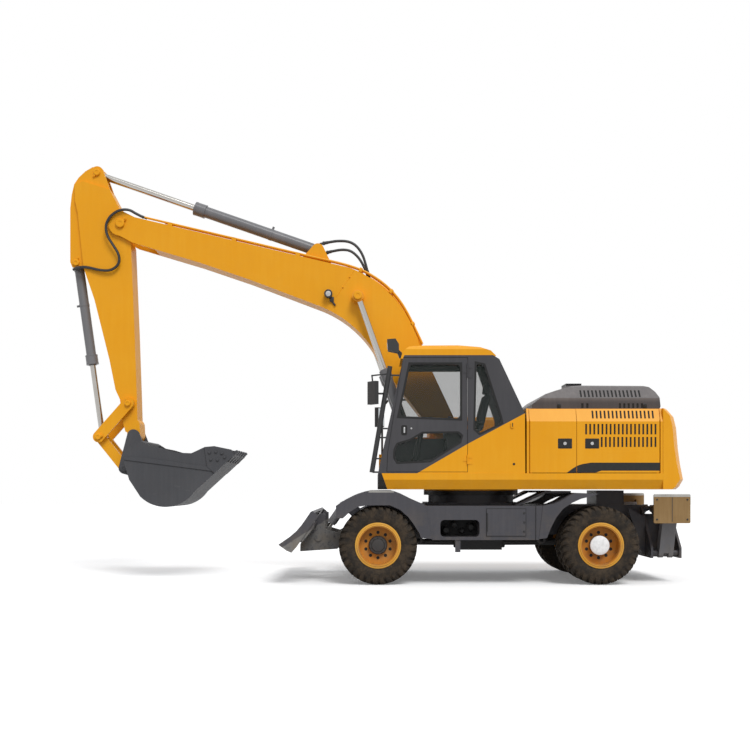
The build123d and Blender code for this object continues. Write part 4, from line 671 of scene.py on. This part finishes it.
painted(yellow, "cab_roof")
painted(enamel("cab_paint", DARK, DARK_PALE, 1.5, 0.1,
               splits=[(under_sill, YELLOW, YELLOW_PALE)]), "cab_shell", "cab_door")
UPPER_LIGHT = [(0.914, 2.896), (0.232, 2.896), (0.232, 2.156), (1.064, 2.188)]
LOWER_LIGHT = [(1.071, 1.848), (0.901, 1.900), (0.743, 1.992), (0.272, 1.998), (0.219, 1.952),
               (0.245, 1.861), (0.639, 1.612), (1.071, 1.592), (1.115, 1.664), (1.110, 1.769)]
REAR_LIGHT = [(0.049, 2.909), (-0.069, 2.883), (-0.292, 2.188), (-0.305, 2.110), (-0.004, 1.966),
              (0.068, 2.031)]
# seals: (piece, outline of the opening, corner radius, width, body)
SEALS = (("upper_door_seal", UPPER_LIGHT, 0.055, 0.018, "cab_door"),
         ("lower_door_seal", LOWER_LIGHT, 0.018, 0.016, "cab_door"),
         ("rear_window_seal", REAR_LIGHT, 0.030, 0.016, "upper"))
for name, outline, radius, width, body in SEALS:
    rim = rounded(outline, 0.001, 0.0008)
    ring = bmesh.new()
    seal(ring, rim, rounded(outline, radius, width), CAB_SIDE - 0.015, CAB_SIDE - 0.001)
    seal(ring, rounded(outline, 0.004, -0.010), rim, CAB_SIDE, CAB_SIDE + 0.002)
    made(ring, name, body, rubber)

# Door furniture: a recessed grip with its keyhole, and behind the door the yellow catch that
# holds it open.
grip = bmesh.new()
plate(grip, rounded(oblong(0.940, 1.955, 1.018, 2.088), 0.025), CAB_SIDE, CAB_SIDE + 0.003)
made(grip, "door_grip_recess", "cab_door", rubber)
pull = bmesh.new()
box(pull, (SWING + 0.966, CAB_SIDE + 0.003, 1.985), (SWING + 0.988, CAB_SIDE + 0.018, 2.06), 0.006)
turned(pull, [(0, 0.012), (0.006, 0.011)], (SWING + 0.885, CAB_SIDE, 2.045), (0, 1, 0), 24)
made(pull, "door_grip", "cab_door", steel)
catch = bmesh.new()
plate(catch, rounded(oblong(-0.455, 2.05, -0.408, 2.13), 0.020), CAB_SIDE, CAB_SIDE + 0.014)
made(catch, "door_catch", "upper", yellow)
slit = bmesh.new()
box(slit, (SWING - 0.437, CAB_SIDE + 0.0135, 2.066), (SWING - 0.427, CAB_SIDE + 0.017, 2.114))
turned(slit, [(0, 0.016), (0.004, 0.015)], (SWING - 0.452, CAB_SIDE, 1.58), (0, 1, 0), 20)
made(slit, "door_catch_slit", "upper", rubber)

# Windows of the cab and of its door: thin sheets of tinted glass in the openings of the shell
# and the door, clear enough for the boom to show through.
glass, shader, place = surface("window_glass", Alpha=0.22, Coat_Weight=0.25, Coat_Roughness=0.02,
                               Specular_IOR_Level=0.25)
haze = place.noise(3.0, 3.0)
feed(shader, Base_Color=haze.pick((0.030, 0.040, 0.036, 1), (0.045, 0.058, 0.050, 1)),
     Roughness=haze * 0.04 + 0.02)
painted(glass, "cab_glass", "cab_door_glass")

# Driver's seat: foam pads in dark cloth on a bellows frame, with arm rests. It replaces the
# plain seat of the model.
cloth, shader, place = surface("seat_cloth", Specular_IOR_Level=0.2)
weave = place.noise(420.0, 2.0)
threads = weave.above(0.35, 0.65)
feed(shader, Base_Color=threads.pick((0.035, 0.037, 0.045, 1), (0.060, 0.062, 0.070, 1)),
     Roughness=weave * 0.1 + 0.85, Normal=weave.bump(0.5, 0.001))
low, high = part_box("seat")
SEAT_Y = (low.y + high.y) / 2
FLOOR = low.z
SEAT_X = SWING + 0.19


def cushion(name, centre, size, lean, crown):
    """Stuffed pad: a soft-edged block, crowned in the middle and drawn in between its corners."""
    pad = bmesh.new()
    bmesh.ops.create_cube(pad, size=2)
    bmesh.ops.subdivide_edges(pad, edges=pad.edges, cuts=11, use_grid_fill=True)
    bmesh.ops.smooth_vert(pad, verts=pad.verts, factor=0.5, use_axis_x=True, use_axis_y=True,
                          use_axis_z=True)
    for vert in pad.verts:
        x, y, z = vert.co
        round_off = math.sqrt(1 - min(1.0, z ** 4) * 0.32)
        waist_x, waist_y = 1 - 0.035 * (1 - y * y), 1 - 0.035 * (1 - x * x)
        rise = crown * max(0.0, 1 - x * x) * max(0.0, 1 - y * y) if z > 0 else 0.0
        seam = 0.006 if abs(abs(y) - 0.55) < 0.05 and z > 0.8 else 0.0
        vert.co = (x * size[0] / 2 * round_off * waist_x, y * size[1] / 2 * round_off * waist_y,
                   z * size[2] / 2 + rise - seam)
    bmesh.ops.transform(pad, matrix=Matrix.Translation(centre) @ Matrix.Rotation(lean, 4, "Y"),
                        verts=pad.verts)
    return made(pad, name, "upper", cloth, 70)


cushion("seat_base", (SEAT_X, SEAT_Y, 1.955), (0.47, 0.44, 0.10), 0.0, 0.018)
cushion("seat_back", (SWING - 0.085, SEAT_Y, 2.27), (0.50, 0.42, 0.09), math.radians(77), 0.018)
cushion("head_rest", (SWING - 0.135, SEAT_Y, 2.60), (0.14, 0.26, 0.07), math.radians(80), 0.008)


def block(shape, u_low, u_high, z_low, z_high, half, edge=0.0, y=SEAT_Y):
    """Box as wide to the left as to the right of the seat's middle, or of another y."""
    box(shape, (SWING + u_low, y - half, z_low), (SWING + u_high, y + half, z_high), edge)


BELLOWS_FOOT = 1.60
FOLDS = 7
bellows = bmesh.new()
block(bellows, 0.06, 0.33, FLOOR, BELLOWS_FOOT, 0.17, 0.01)
block(bellows, -0.03, 0.40, 1.880, 1.904, 0.20, 0.006)
for fold in range(FOLDS):
    z = BELLOWS_FOOT + 0.04 * fold
    block(bellows, 0.07, 0.32, z, z + 0.022, 0.15, 0.008)
    block(bellows, 0.09, 0.30, z + 0.02, z + 0.042, 0.13)
for side in (1, -1):
    block(bellows, -0.07, 0.22, 2.12, 2.152, 0.016, 0.012, SEAT_Y + side * 0.218)
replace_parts(made(bellows, "seat_frame", "upper", rubber), "seat")

# Driver's controls: a column with its steering wheel, two lever consoles and two pedals, all in
# black. They replace the plain controls of the model.
controls = bmesh.new()
FOOT = Vector((SWING + 0.85, SEAT_Y, FLOOR))
lean = (Vector((SWING + 0.70, SEAT_Y, 2.18)) - FOOT).normalized()
COLUMN = 0.655
WHEEL_RADIUS = 0.158
GRIP_RADIUS = 0.012
GRIP_SIDES = 12
block(controls, 0.79, 0.92, FLOOR, FLOOR + 0.04, 0.07, 0.006)
turned(controls, [(0.01, 0.055), (0.25, 0.042), (0.60, 0.034), (COLUMN, 0.034), (0.66, 0.045),
                  (0.672, 0.045)], FOOT, lean, 28)
boss = FOOT + lean * COLUMN
turns = [math.tau * i / GRIP_SIDES for i in range(GRIP_SIDES)]
turned(controls, [(GRIP_RADIUS * math.cos(turn), WHEEL_RADIUS + GRIP_RADIUS * math.sin(turn))
                  for turn in turns], boss, lean, 40, closed=False)
for turn in (0.5, 2.6, 4.7):
    spoke = Matrix.Rotation(turn, 3, lean) @ lean.orthogonal().normalized() * WHEEL_RADIUS
    rod(controls, boss, boss + spoke, 0.009, 10)
for side in (1, -1):
    y = SEAT_Y + side * 0.2925
    block(controls, -0.02, 0.42, FLOOR, 2.04, 0.045, 0.015, y)
    turned(controls, [(0, 0.028), (0.02, 0.014), (0.08, 0.012), (0.09, 0.022), (0.16, 0.024),
                      (0.175, 0.012)], (SWING + 0.36, y, 2.04), (0.12, 0, 1), 20)
    block(controls, 0.95, 1.10, FLOOR, FLOOR + 0.03, 0.05, 0.005, SEAT_Y + side * 0.11)
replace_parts(made(controls, "driver_controls", "upper", black), "cab_controls")

# Rails, mirrors and lamps: black tube and plastic, with silvered mirror faces. The cab's lamp
# has a pale lens, and the boom's lamp a bright one in a bezel with its own bracket.
painted(black, "rails_and_mirrors", "cab_lamp", "boom_lamp")
lens = plain("lamp_lens", (0.55, 0.56, 0.56, 1), 0.15)
low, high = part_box("cab_lamp")
cab_lens = bmesh.new()
turned(cab_lens, [(0, 0.052), (0.004, 0.052), (0.007, 0.040)],
       (high.x - 0.008, (low.y + high.y) / 2, high.z - 0.085), (1, 0, -0.06), 28)
made(cab_lens, "cab_lamp_lens", "upper", lens)
low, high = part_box("boom_lamp")
middle = Vector(((low.x + high.x) / 2, high.y, (low.z + high.z) / 2))
face = bmesh.new()
turned(face, [(0, 0.038), (0.003, 0.037), (0.005, 0.02)], middle, (0, 1, 0), 28)
made(face, "boom_lamp_lens", "boom", steel)
bezel = bmesh.new()
turned(bezel, [(-0.030, 0.048), (-0.030, 0.058), (0.006, 0.058), (0.009, 0.050), (0.006, 0.040),
               (-0.002, 0.040)], middle, (0, 1, 0), 28, closed=False)
box(bezel, (middle.x - 0.075, low.y, middle.z - 0.105),
    (middle.x - 0.020, low.y + 0.030, middle.z - 0.035), 0.006)
rod(bezel, (middle.x - 0.045, low.y + 0.014, middle.z - 0.09),
    (middle.x - 0.095, low.y + 0.014, middle.z - 0.155), 0.013, 12)
made(bezel, "boom_lamp_bezel_and_bracket", "boom", black)
silver = plain("mirror_silver", (0.55, 0.58, 0.60, 1), 0.06, 1.0, 0.02)
for u, y, z, turn in ((1.385, CAB_SIDE - 0.025, 2.510, 35), (1.290, -(SIDE - 0.055), 2.350, -35)):
    mirror = bmesh.new()
    turned_out = Matrix.Translation((SWING + u, y, z)) @ Matrix.Rotation(math.radians(turn), 4, "Z")
    bmesh.ops.create_cube(mirror, size=1, matrix=turned_out @ Matrix.Translation((-0.031, 0, 0))
                          @ Matrix.Diagonal((0.002, 0.145, 0.27, 1)))
    made(mirror, f"mirror_face_{'left' if y > 0 else 'right'}", "upper", silver)

# Boom, arm and linkage: welded box girders in yellow enamel. Each pin shows a turned cap on
# both faces, with a bolted keeper plate beside it.
painted(yellow, "boom", "boom_pipes", "arm", "rocker_plates", "bucket_link")
BOOM_Y = joints["boom_lift"]["pos_m"][1]


def at(joint):
    """Where a joint's axis meets the machine's side view."""
    x, _, z = joints[joint]["pos_m"]
    return (x, z)


def pin_cap(spot, out, radius, body, name, turn):
    """Pin head with a chamfer and its bolted keeper, on both faces, out from the boom's middle."""
    cap = bmesh.new()
    for side in (1, -1):
        centre = Vector((spot[0], BOOM_Y + side * out, spot[1]))
        turned(cap, [(-0.004, radius), (0.008, radius), (0.014, radius - 0.007),
                     (0.014, radius * 0.45), (0.010, radius * 0.40)], centre, (0, side, 0), 36)
        way = Vector((math.cos(turn), 0, math.sin(turn)))
        place = Matrix.Translation(centre + way * radius * 1.1) @ Matrix.Rotation(-turn, 4, "Y")
        keeper = Matrix.Diagonal((radius * 1.2, 0.012, radius * 0.6, 1))
        bmesh.ops.create_cube(cap, size=1, matrix=place @ keeper)
        bolt(cap, centre + way * radius * 1.45 + Vector((0, side * 0.006, 0)), (0, side, 0),
             radius * 0.14)
    return made(cap, name, body, yellow)


CROWD_EYE = (SWING + 5.296, 5.735)
TIP_EYE = (SWING + 5.246, 1.986)
pin_cap(at("arm_crowd"), 0.237, 0.062, "boom", "arm_pin_cap", 2.4)
pin_cap(CROWD_EYE, 0.143, 0.046, "arm", "arm_cylinder_pin_cap", -0.9)
pin_cap(at("bucket_cylinder_swing"), 0.143, 0.046, "arm", "bucket_cylinder_pin_cap", 1.9)
pin_cap(at("rocker_swing"), 0.268, 0.042, "arm", "rocker_pin_cap", 1.3)
pin_cap(TIP_EYE, 0.268, 0.042, "rocker", "rocker_end_pin_cap", 2.9)
pin_cap(at("boom_lift"), 0.284, 0.060, "upper", "boom_foot_pin_cap", 0.9)

# Hard pipes of the boom: they run on from the clamped pipes over the bend and down its back,
# two pairs from the tip and one pair that starts at the hoses. Three clip bars hold them.
PIPE_BEND = ((2.330, 4.547), (2.040, 4.483), (1.740, 4.412), (1.500, 4.325), (1.300, 4.205),
             (1.130, 4.062), (0.960, 3.850), (0.800, 3.540), (0.690, 3.300))
PIPE_RADIUS = 0.015
HOSE_Y = 0.098
HOSE_FOOT = (1.455, 4.300)


def tube(name, body, material, points, radius):
    """Round tube along a smooth line, as a mesh, and the points that its middle runs through."""
    curve = bpy.data.curves.new(name, "CURVE")
    curve.dimensions = "3D"
    spline = curve.splines.new("NURBS")
    spline.points.add(len(points) - 1)
    for point, place in zip(spline.points, points):
        point.co = (*place, 1)
    spline.order_u = 3
    spline.use_endpoint_u = True
    spline.resolution_u = 10
    carrier = placed(name + "_line", curve)
    bpy.context.view_layer.update()
    middle = bpy.data.meshes.new_from_object(carrier)
    path = [tuple(vert.co) for vert in middle.vertices]
    curve.bevel_depth = radius
    curve.bevel_resolution = 3
    curve.use_fill_caps = True
    bpy.context.view_layer.update()
    solid = carrier.evaluated_get(bpy.context.evaluated_depsgraph_get())
    mesh = bpy.data.meshes.new_from_object(solid)
    bpy.data.objects.remove(carrier)
    bpy.data.meshes.remove(middle)
    shape = bmesh.new()
    shape.from_mesh(mesh)
    bpy.data.meshes.remove(mesh)
    return made(shape, name, body, material), path


for number, aside in enumerate((-0.191, -0.138, 0.138, 0.191), 1):
    tube(f"bend_pipe_{number}", "boom", yellow,
         [(SWING + u, BOOM_Y + aside, z) for u, z in PIPE_BEND], PIPE_RADIUS)
for number, aside in enumerate((-HOSE_Y, HOSE_Y), 1):
    tube(f"hose_pipe_{number}", "boom", yellow,
         [(SWING + u, BOOM_Y + aside, z) for u, z in (HOSE_FOOT, *PIPE_BEND[4:])], PIPE_RADIUS)
clips = bmesh.new()
for u, z, turn in ((1.560, 4.340, 0.45), (1.130, 4.040, 0.88), (0.830, 3.580, 1.12)):
    place = Matrix.Translation((SWING + u, BOOM_Y, z)) @ Matrix.Rotation(-turn, 4, "Y")
    bmesh.ops.create_cube(clips, size=1, matrix=place @ Matrix.Diagonal((0.045, 0.43, 0.062, 1)))
bmesh.ops.bevel(clips, geom=clips.edges, offset=0.006, segments=2, profile=0.5, affect="EDGES",
                material=-1)
made(clips, "bend_pipe_clips", "boom", yellow)

# Wire of the boom's lamp: it runs down the boom's cheek under a thin cover in the same yellow,
# which two round clips hold.
BOOM_FACE = 0.215
cover = bmesh.new()
y = BOOM_Y + BOOM_FACE
rod(cover, (SWING + 1.650, y, 4.335), (SWING + 1.905, y, 3.955), 0.004, 8)
for u, z in ((1.715, 4.238), (1.812, 4.094)):
    turned(cover, [(0, 0.012), (0.010, 0.012), (0.014, 0.007)], (SWING + u, y, z), (0, 1, 0), 12)
made(cover, "lamp_wire_cover", "boom", yellow)

# Hoses: black rubber on steel ends. Two arch from the arm cylinder's ears to their pipes on the
# bend, and one loops from the pipe at the boom's tip round the arm to the bucket cylinder.
hose_rubber = plain("hose_rubber", (0.010, 0.010, 0.011, 1), 0.45)
HOSE_THICK = 0.038
UPPER_HOSE = 0.91
LOWER_HOSE = 0.79
UPPER_ROUTE = ((2.073, 4.741), (1.959, 4.765), (1.845, 4.773), (1.745, 4.766), (1.659, 4.732),
               (1.585, 4.660), (1.528, 4.560), (1.492, 4.445), HOSE_FOOT)
LOWER_ROUTE = ((2.030, 4.655), (1.930, 4.680), (1.816, 4.694), (1.716, 4.680), (1.630, 4.618),
               (1.560, 4.530), (1.505, 4.420), HOSE_FOOT)
HOSES = (("boom_hose_upper", UPPER_HOSE, HOSE_Y, UPPER_ROUTE),
         ("boom_hose_lower", LOWER_HOSE, -HOSE_Y, LOWER_ROUTE))
hose_ends = bmesh.new()


def fitting(shape, tip, behind, nut=0.027):
    """Crimped ferrule and its union at the end of a hose."""
    turned(shape, [(-0.050, nut - 0.005), (-0.003, nut - 0.005), (0.0, nut), (0.026, nut),
                   (0.028, nut - 0.009), (0.070, nut - 0.009)], tip, Vector(tip) - Vector(behind), 12)


for name, length, aside, route in HOSES:
    points = [(SWING + u, BOOM_Y + aside, z) for u, z in route]
    hose, path = tube(name, "boom", hose_rubber, points, HOSE_THICK / 2)
    fitting(hose_ends, points[0], points[1])
    fitting(hose_ends, points[-1], points[-2])
# (ahead, out, height) from the boom's outer pipe to the port of the bucket cylinder
ARM_ROUTE = ((4.640, 0.139, 5.090), (4.725, 0.152, 5.128), (4.800, 0.176, 5.174),
             (4.890, 0.190, 5.180), (4.985, 0.192, 5.155), (5.085, 0.190, 5.080),
             (5.146, 0.186, 4.960), (5.128, 0.182, 4.818), (5.040, 0.176, 4.680),
             (4.952, 0.170, 4.540), (4.962, 0.162, 4.410), (5.080, 0.152, 4.325),
             (5.240, 0.140, 4.335), (5.400, 0.128, 4.380), (5.500, 0.118, 4.388),
             (5.565, 0.100, 4.372))
SLIM_NUT = 0.021
points = [(SWING + u, y, z) for u, y, z in ARM_ROUTE]
hose, path = tube("arm_hose", None, hose_rubber, points, HOSE_THICK / 2)
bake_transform(hose)
fitting(hose_ends, points[0], points[1], SLIM_NUT)
made(hose_ends, "boom_hose_ends", "boom", iron)
port = bmesh.new()
fitting(port, points[-1], points[-2])
made(port, "arm_hose_end", "arm", iron)

# Cylinders: steel barrels in satin grey paint, with chromed rods. Those of the boom, the arm and
# the bucket also have gland rings, and a clamp with its stud.
barrel_grey = enamel("barrel_paint", (0.150, 0.149, 0.156, 1), (0.190, 0.188, 0.195, 1), 1.0, 0.1,
                     0.3, 0.3)
chrome, shader, place = surface("chromed_rod", Metallic=1.0)
film = place.noise(7.0, 4.0)
feed(shader, Base_Color=film.pick((0.40, 0.385, 0.36, 1), (0.48, 0.465, 0.44, 1)),
     Roughness=film * 0.1 + 0.15)
painted(barrel_grey, "boom_cylinder_barrels", "arm_cylinder_barrel", "bucket_cylinder_barrel",
        "blade_cylinder_barrels", "outrigger_barrel_left", "outrigger_barrel_right")
painted(chrome, "arm_cylinder_rod", "bucket_cylinder_rod", "blade_cylinder_rods",
        "outrigger_rod_left", "outrigger_rod_right")
CLAMP_WIDE = 0.035
RING_EDGE = 0.002
# (body, joint, offsets from the boom's middle, barrel radius, gland radius, reach, rod radius,
# clamp's distance from the joint, side of its stud)
BARRELS = (("arm_barrel", "arm_cylinder", (0.0,), 0.080, 0.095, 1.860, 0.046, 0.695, 1),
           ("bucket_barrel", "bucket_cylinder", (0.0,), 0.068, 0.085, 1.440, 0.040, 0.570, 1),
           ("boom_barrels", "boom_cylinder", (0.325, -0.325), 0.070, 0.076, 1.500, 0.042, 0.750, -1))
for body, joint, offsets, outer, gland, reach, inner, far, hand in BARRELS:
    x, z = at(joint + "_swing")
    along = Vector(joints[joint + "_stroke"]["axis"])
    over = Vector((-along.z, 0, along.x)) * hand
    rings = bmesh.new()
    for aside in offsets:
        start = Vector((x, BOOM_Y + aside, z))
        back = reach - 2 * outer
        for first, last, radius in ((back, back + 0.018, gland), (reach - 0.030, reach + 0.002, gland),
                                    (reach, reach + 0.014, inner + 0.014)):
            turned(rings, [(first, radius), (first + RING_EDGE, radius + RING_EDGE),
                           (last - RING_EDGE, radius + RING_EDGE), (last, radius)], start, along, 40)
        turned(rings, [(far, outer + 0.004), (far + CLAMP_WIDE, outer + 0.004)], start, along, 40)
        spot = start + along * (far + 0.018)
        rod(rings, spot + over * (outer - 0.01), spot + over * (outer + 0.038), 0.016, 12)
    made(rings, joint + "_clamp_and_gland", body, barrel_grey)

# Rods of the boom's cylinders: chromed steel, with the forged eye at their upper end painted
# yellow and a turned cap on its pin.
LIFT_EYE = (SWING + 1.598, 3.949)
lift_rod, shader, place = surface("boom_rod")
ahead, up = place.axis("X") - LIFT_EYE[0], place.axis("Z") - LIFT_EYE[1]
eye = 1 - (ahead * ahead + up * up).above(0.0078, 0.0081)
feed(shader, Base_Color=eye.pick((0.44, 0.425, 0.40, 1), YELLOW), Metallic=1 - eye,
     Roughness=eye * 0.2 + 0.2)
painted(lift_rod, "boom_cylinder_rods")
eye_caps = bmesh.new()
for side in (1, -1):
    turned(eye_caps, [(0, 0.060), (0.010, 0.060), (0.016, 0.052), (0.016, 0.026), (0.011, 0.022)],
           (LIFT_EYE[0], BOOM_Y + side * 0.3915, LIFT_EYE[1]), (0, side, 0), 36)
made(eye_caps, "boom_rod_pin_caps", "boom_rods", yellow)


# Bucket: worn dark grey, with a welded wear strip on each cheek, the bolts of its side cutters
# and caps on its two pins. Soil has scraped the cheeks and the floor paler.
def dug(place):
    """1 in streaks along the lower half."""
    low = 1 - place.axis("Z").above(1.05, 1.42)
    return low * place.stretched(2.2, 1.0, 5.5).noise(3.2, 6.0, 0.7).above(0.60, 0.72)


bucket_paint = enamel("bucket_paint", (0.066, 0.067, 0.073, 1), (0.082, 0.083, 0.090, 1), 0.9, 0.3,
                      0.5, 0.0, splits=[(dug, (0.12, 0.118, 0.115, 1), (0.17, 0.166, 0.16, 1))])
painted(bucket_paint, "bucket")
CHEEK = 0.575
STRIP = ((4.800, 1.655), (4.806, 1.695), (4.560, 1.690), (3.575, 1.550), (3.590, 1.500))
CUTTER_BOLTS = ((3.630, 1.755), (3.540, 1.765), (3.460, 1.745), (3.610, 1.660), (3.520, 1.655),
                (3.420, 1.690))
CUTTER_THICK = 0.019
wear = bmesh.new()
heads = bmesh.new()
for side in (1, -1):
    cheek = BOOM_Y + side * CHEEK
    plate(wear, STRIP, cheek, cheek + side * 0.012)
    for u, z in CUTTER_BOLTS:
        bolt(heads, (SWING + u, BOOM_Y + side * (CHEEK + CUTTER_THICK), z), (0, side, 0), 0.020)
    for joint, out in (("bucket_curl", 0.1765), ("link_swing", 0.2105)):
        turned(heads, [(-0.002, 0.052), (0.010, 0.052), (0.016, 0.044), (0.016, 0.020),
                       (0.012, 0.016)], (at(joint)[0], BOOM_Y + side * out, at(joint)[1]),
               (0, side, 0), 32)
made(wear, "bucket_wear_strips", "bucket", bucket_paint)
made(heads, "bucket_bolts_and_pin_caps", "bucket", bucket_paint)

# Floor, sky and sun: a pale studio floor that the lens sees as white but that throws little
# light back up, and soft light from above as in the photograph.
FLOOR_HALF = 60
SKY_STRENGTH = 0.68
SUN_STRENGTH = 1.85
SUN_SPREAD = math.radians(25)
SUN_TURN = (math.radians(-38), math.radians(-18), 0)
ground = bmesh.new()
bmesh.ops.create_grid(ground, x_segments=1, y_segments=1, size=FLOOR_HALF)
mesh = bpy.data.meshes.new("floor")
ground.to_mesh(mesh)
ground.free()
placed("floor", mesh)
floor_white, shader, place = surface("studio_floor", Roughness=0.9, Specular_IOR_Level=0.0,
                                     Emission_Strength=0.14)


def seen(flow):
    """1 for rays that show the background: from the lens, in metal and through glass."""
    path = flow.node("ShaderNodeLightPath")
    from_lens, from_metal = flow.out(path, "Is Camera Ray"), flow.out(path, "Is Glossy Ray")
    return (from_lens + from_metal + flow.out(path, "Is Transmission Ray")).clamp()


feed(shader, Base_Color=seen(place).pick((0.36, 0.355, 0.35, 1), (0.97, 0.97, 0.97, 1)),
     Emission_Color=seen(place).pick((0, 0, 0, 1), (1, 1, 1, 1)))
mesh.materials.append(floor_white)

world = bpy.data.worlds.new("studio")
scene.world = world
world.use_nodes = True
world.node_tree.nodes.clear()
sky = Flow(world.node_tree, None)
lit = sky.node("ShaderNodeBackground", None, Color=(0.97, 0.98, 1, 1), Strength=SKY_STRENGTH)
white = sky.node("ShaderNodeBackground", None, Color=(1, 1, 1, 1), Strength=1.0)
chosen = sky.node("ShaderNodeMixShader", None, i0=seen(sky), i1=sky.out(lit), i2=sky.out(white))
sky.node("ShaderNodeOutputWorld", None, Surface=sky.out(chosen))
sun = placed("sun", bpy.data.lights.new("sun", "SUN"))
sun.data.energy = SUN_STRENGTH
sun.data.angle = SUN_SPREAD
sun.rotation_euler = SUN_TURN

scene.view_settings.view_transform = "Standard"
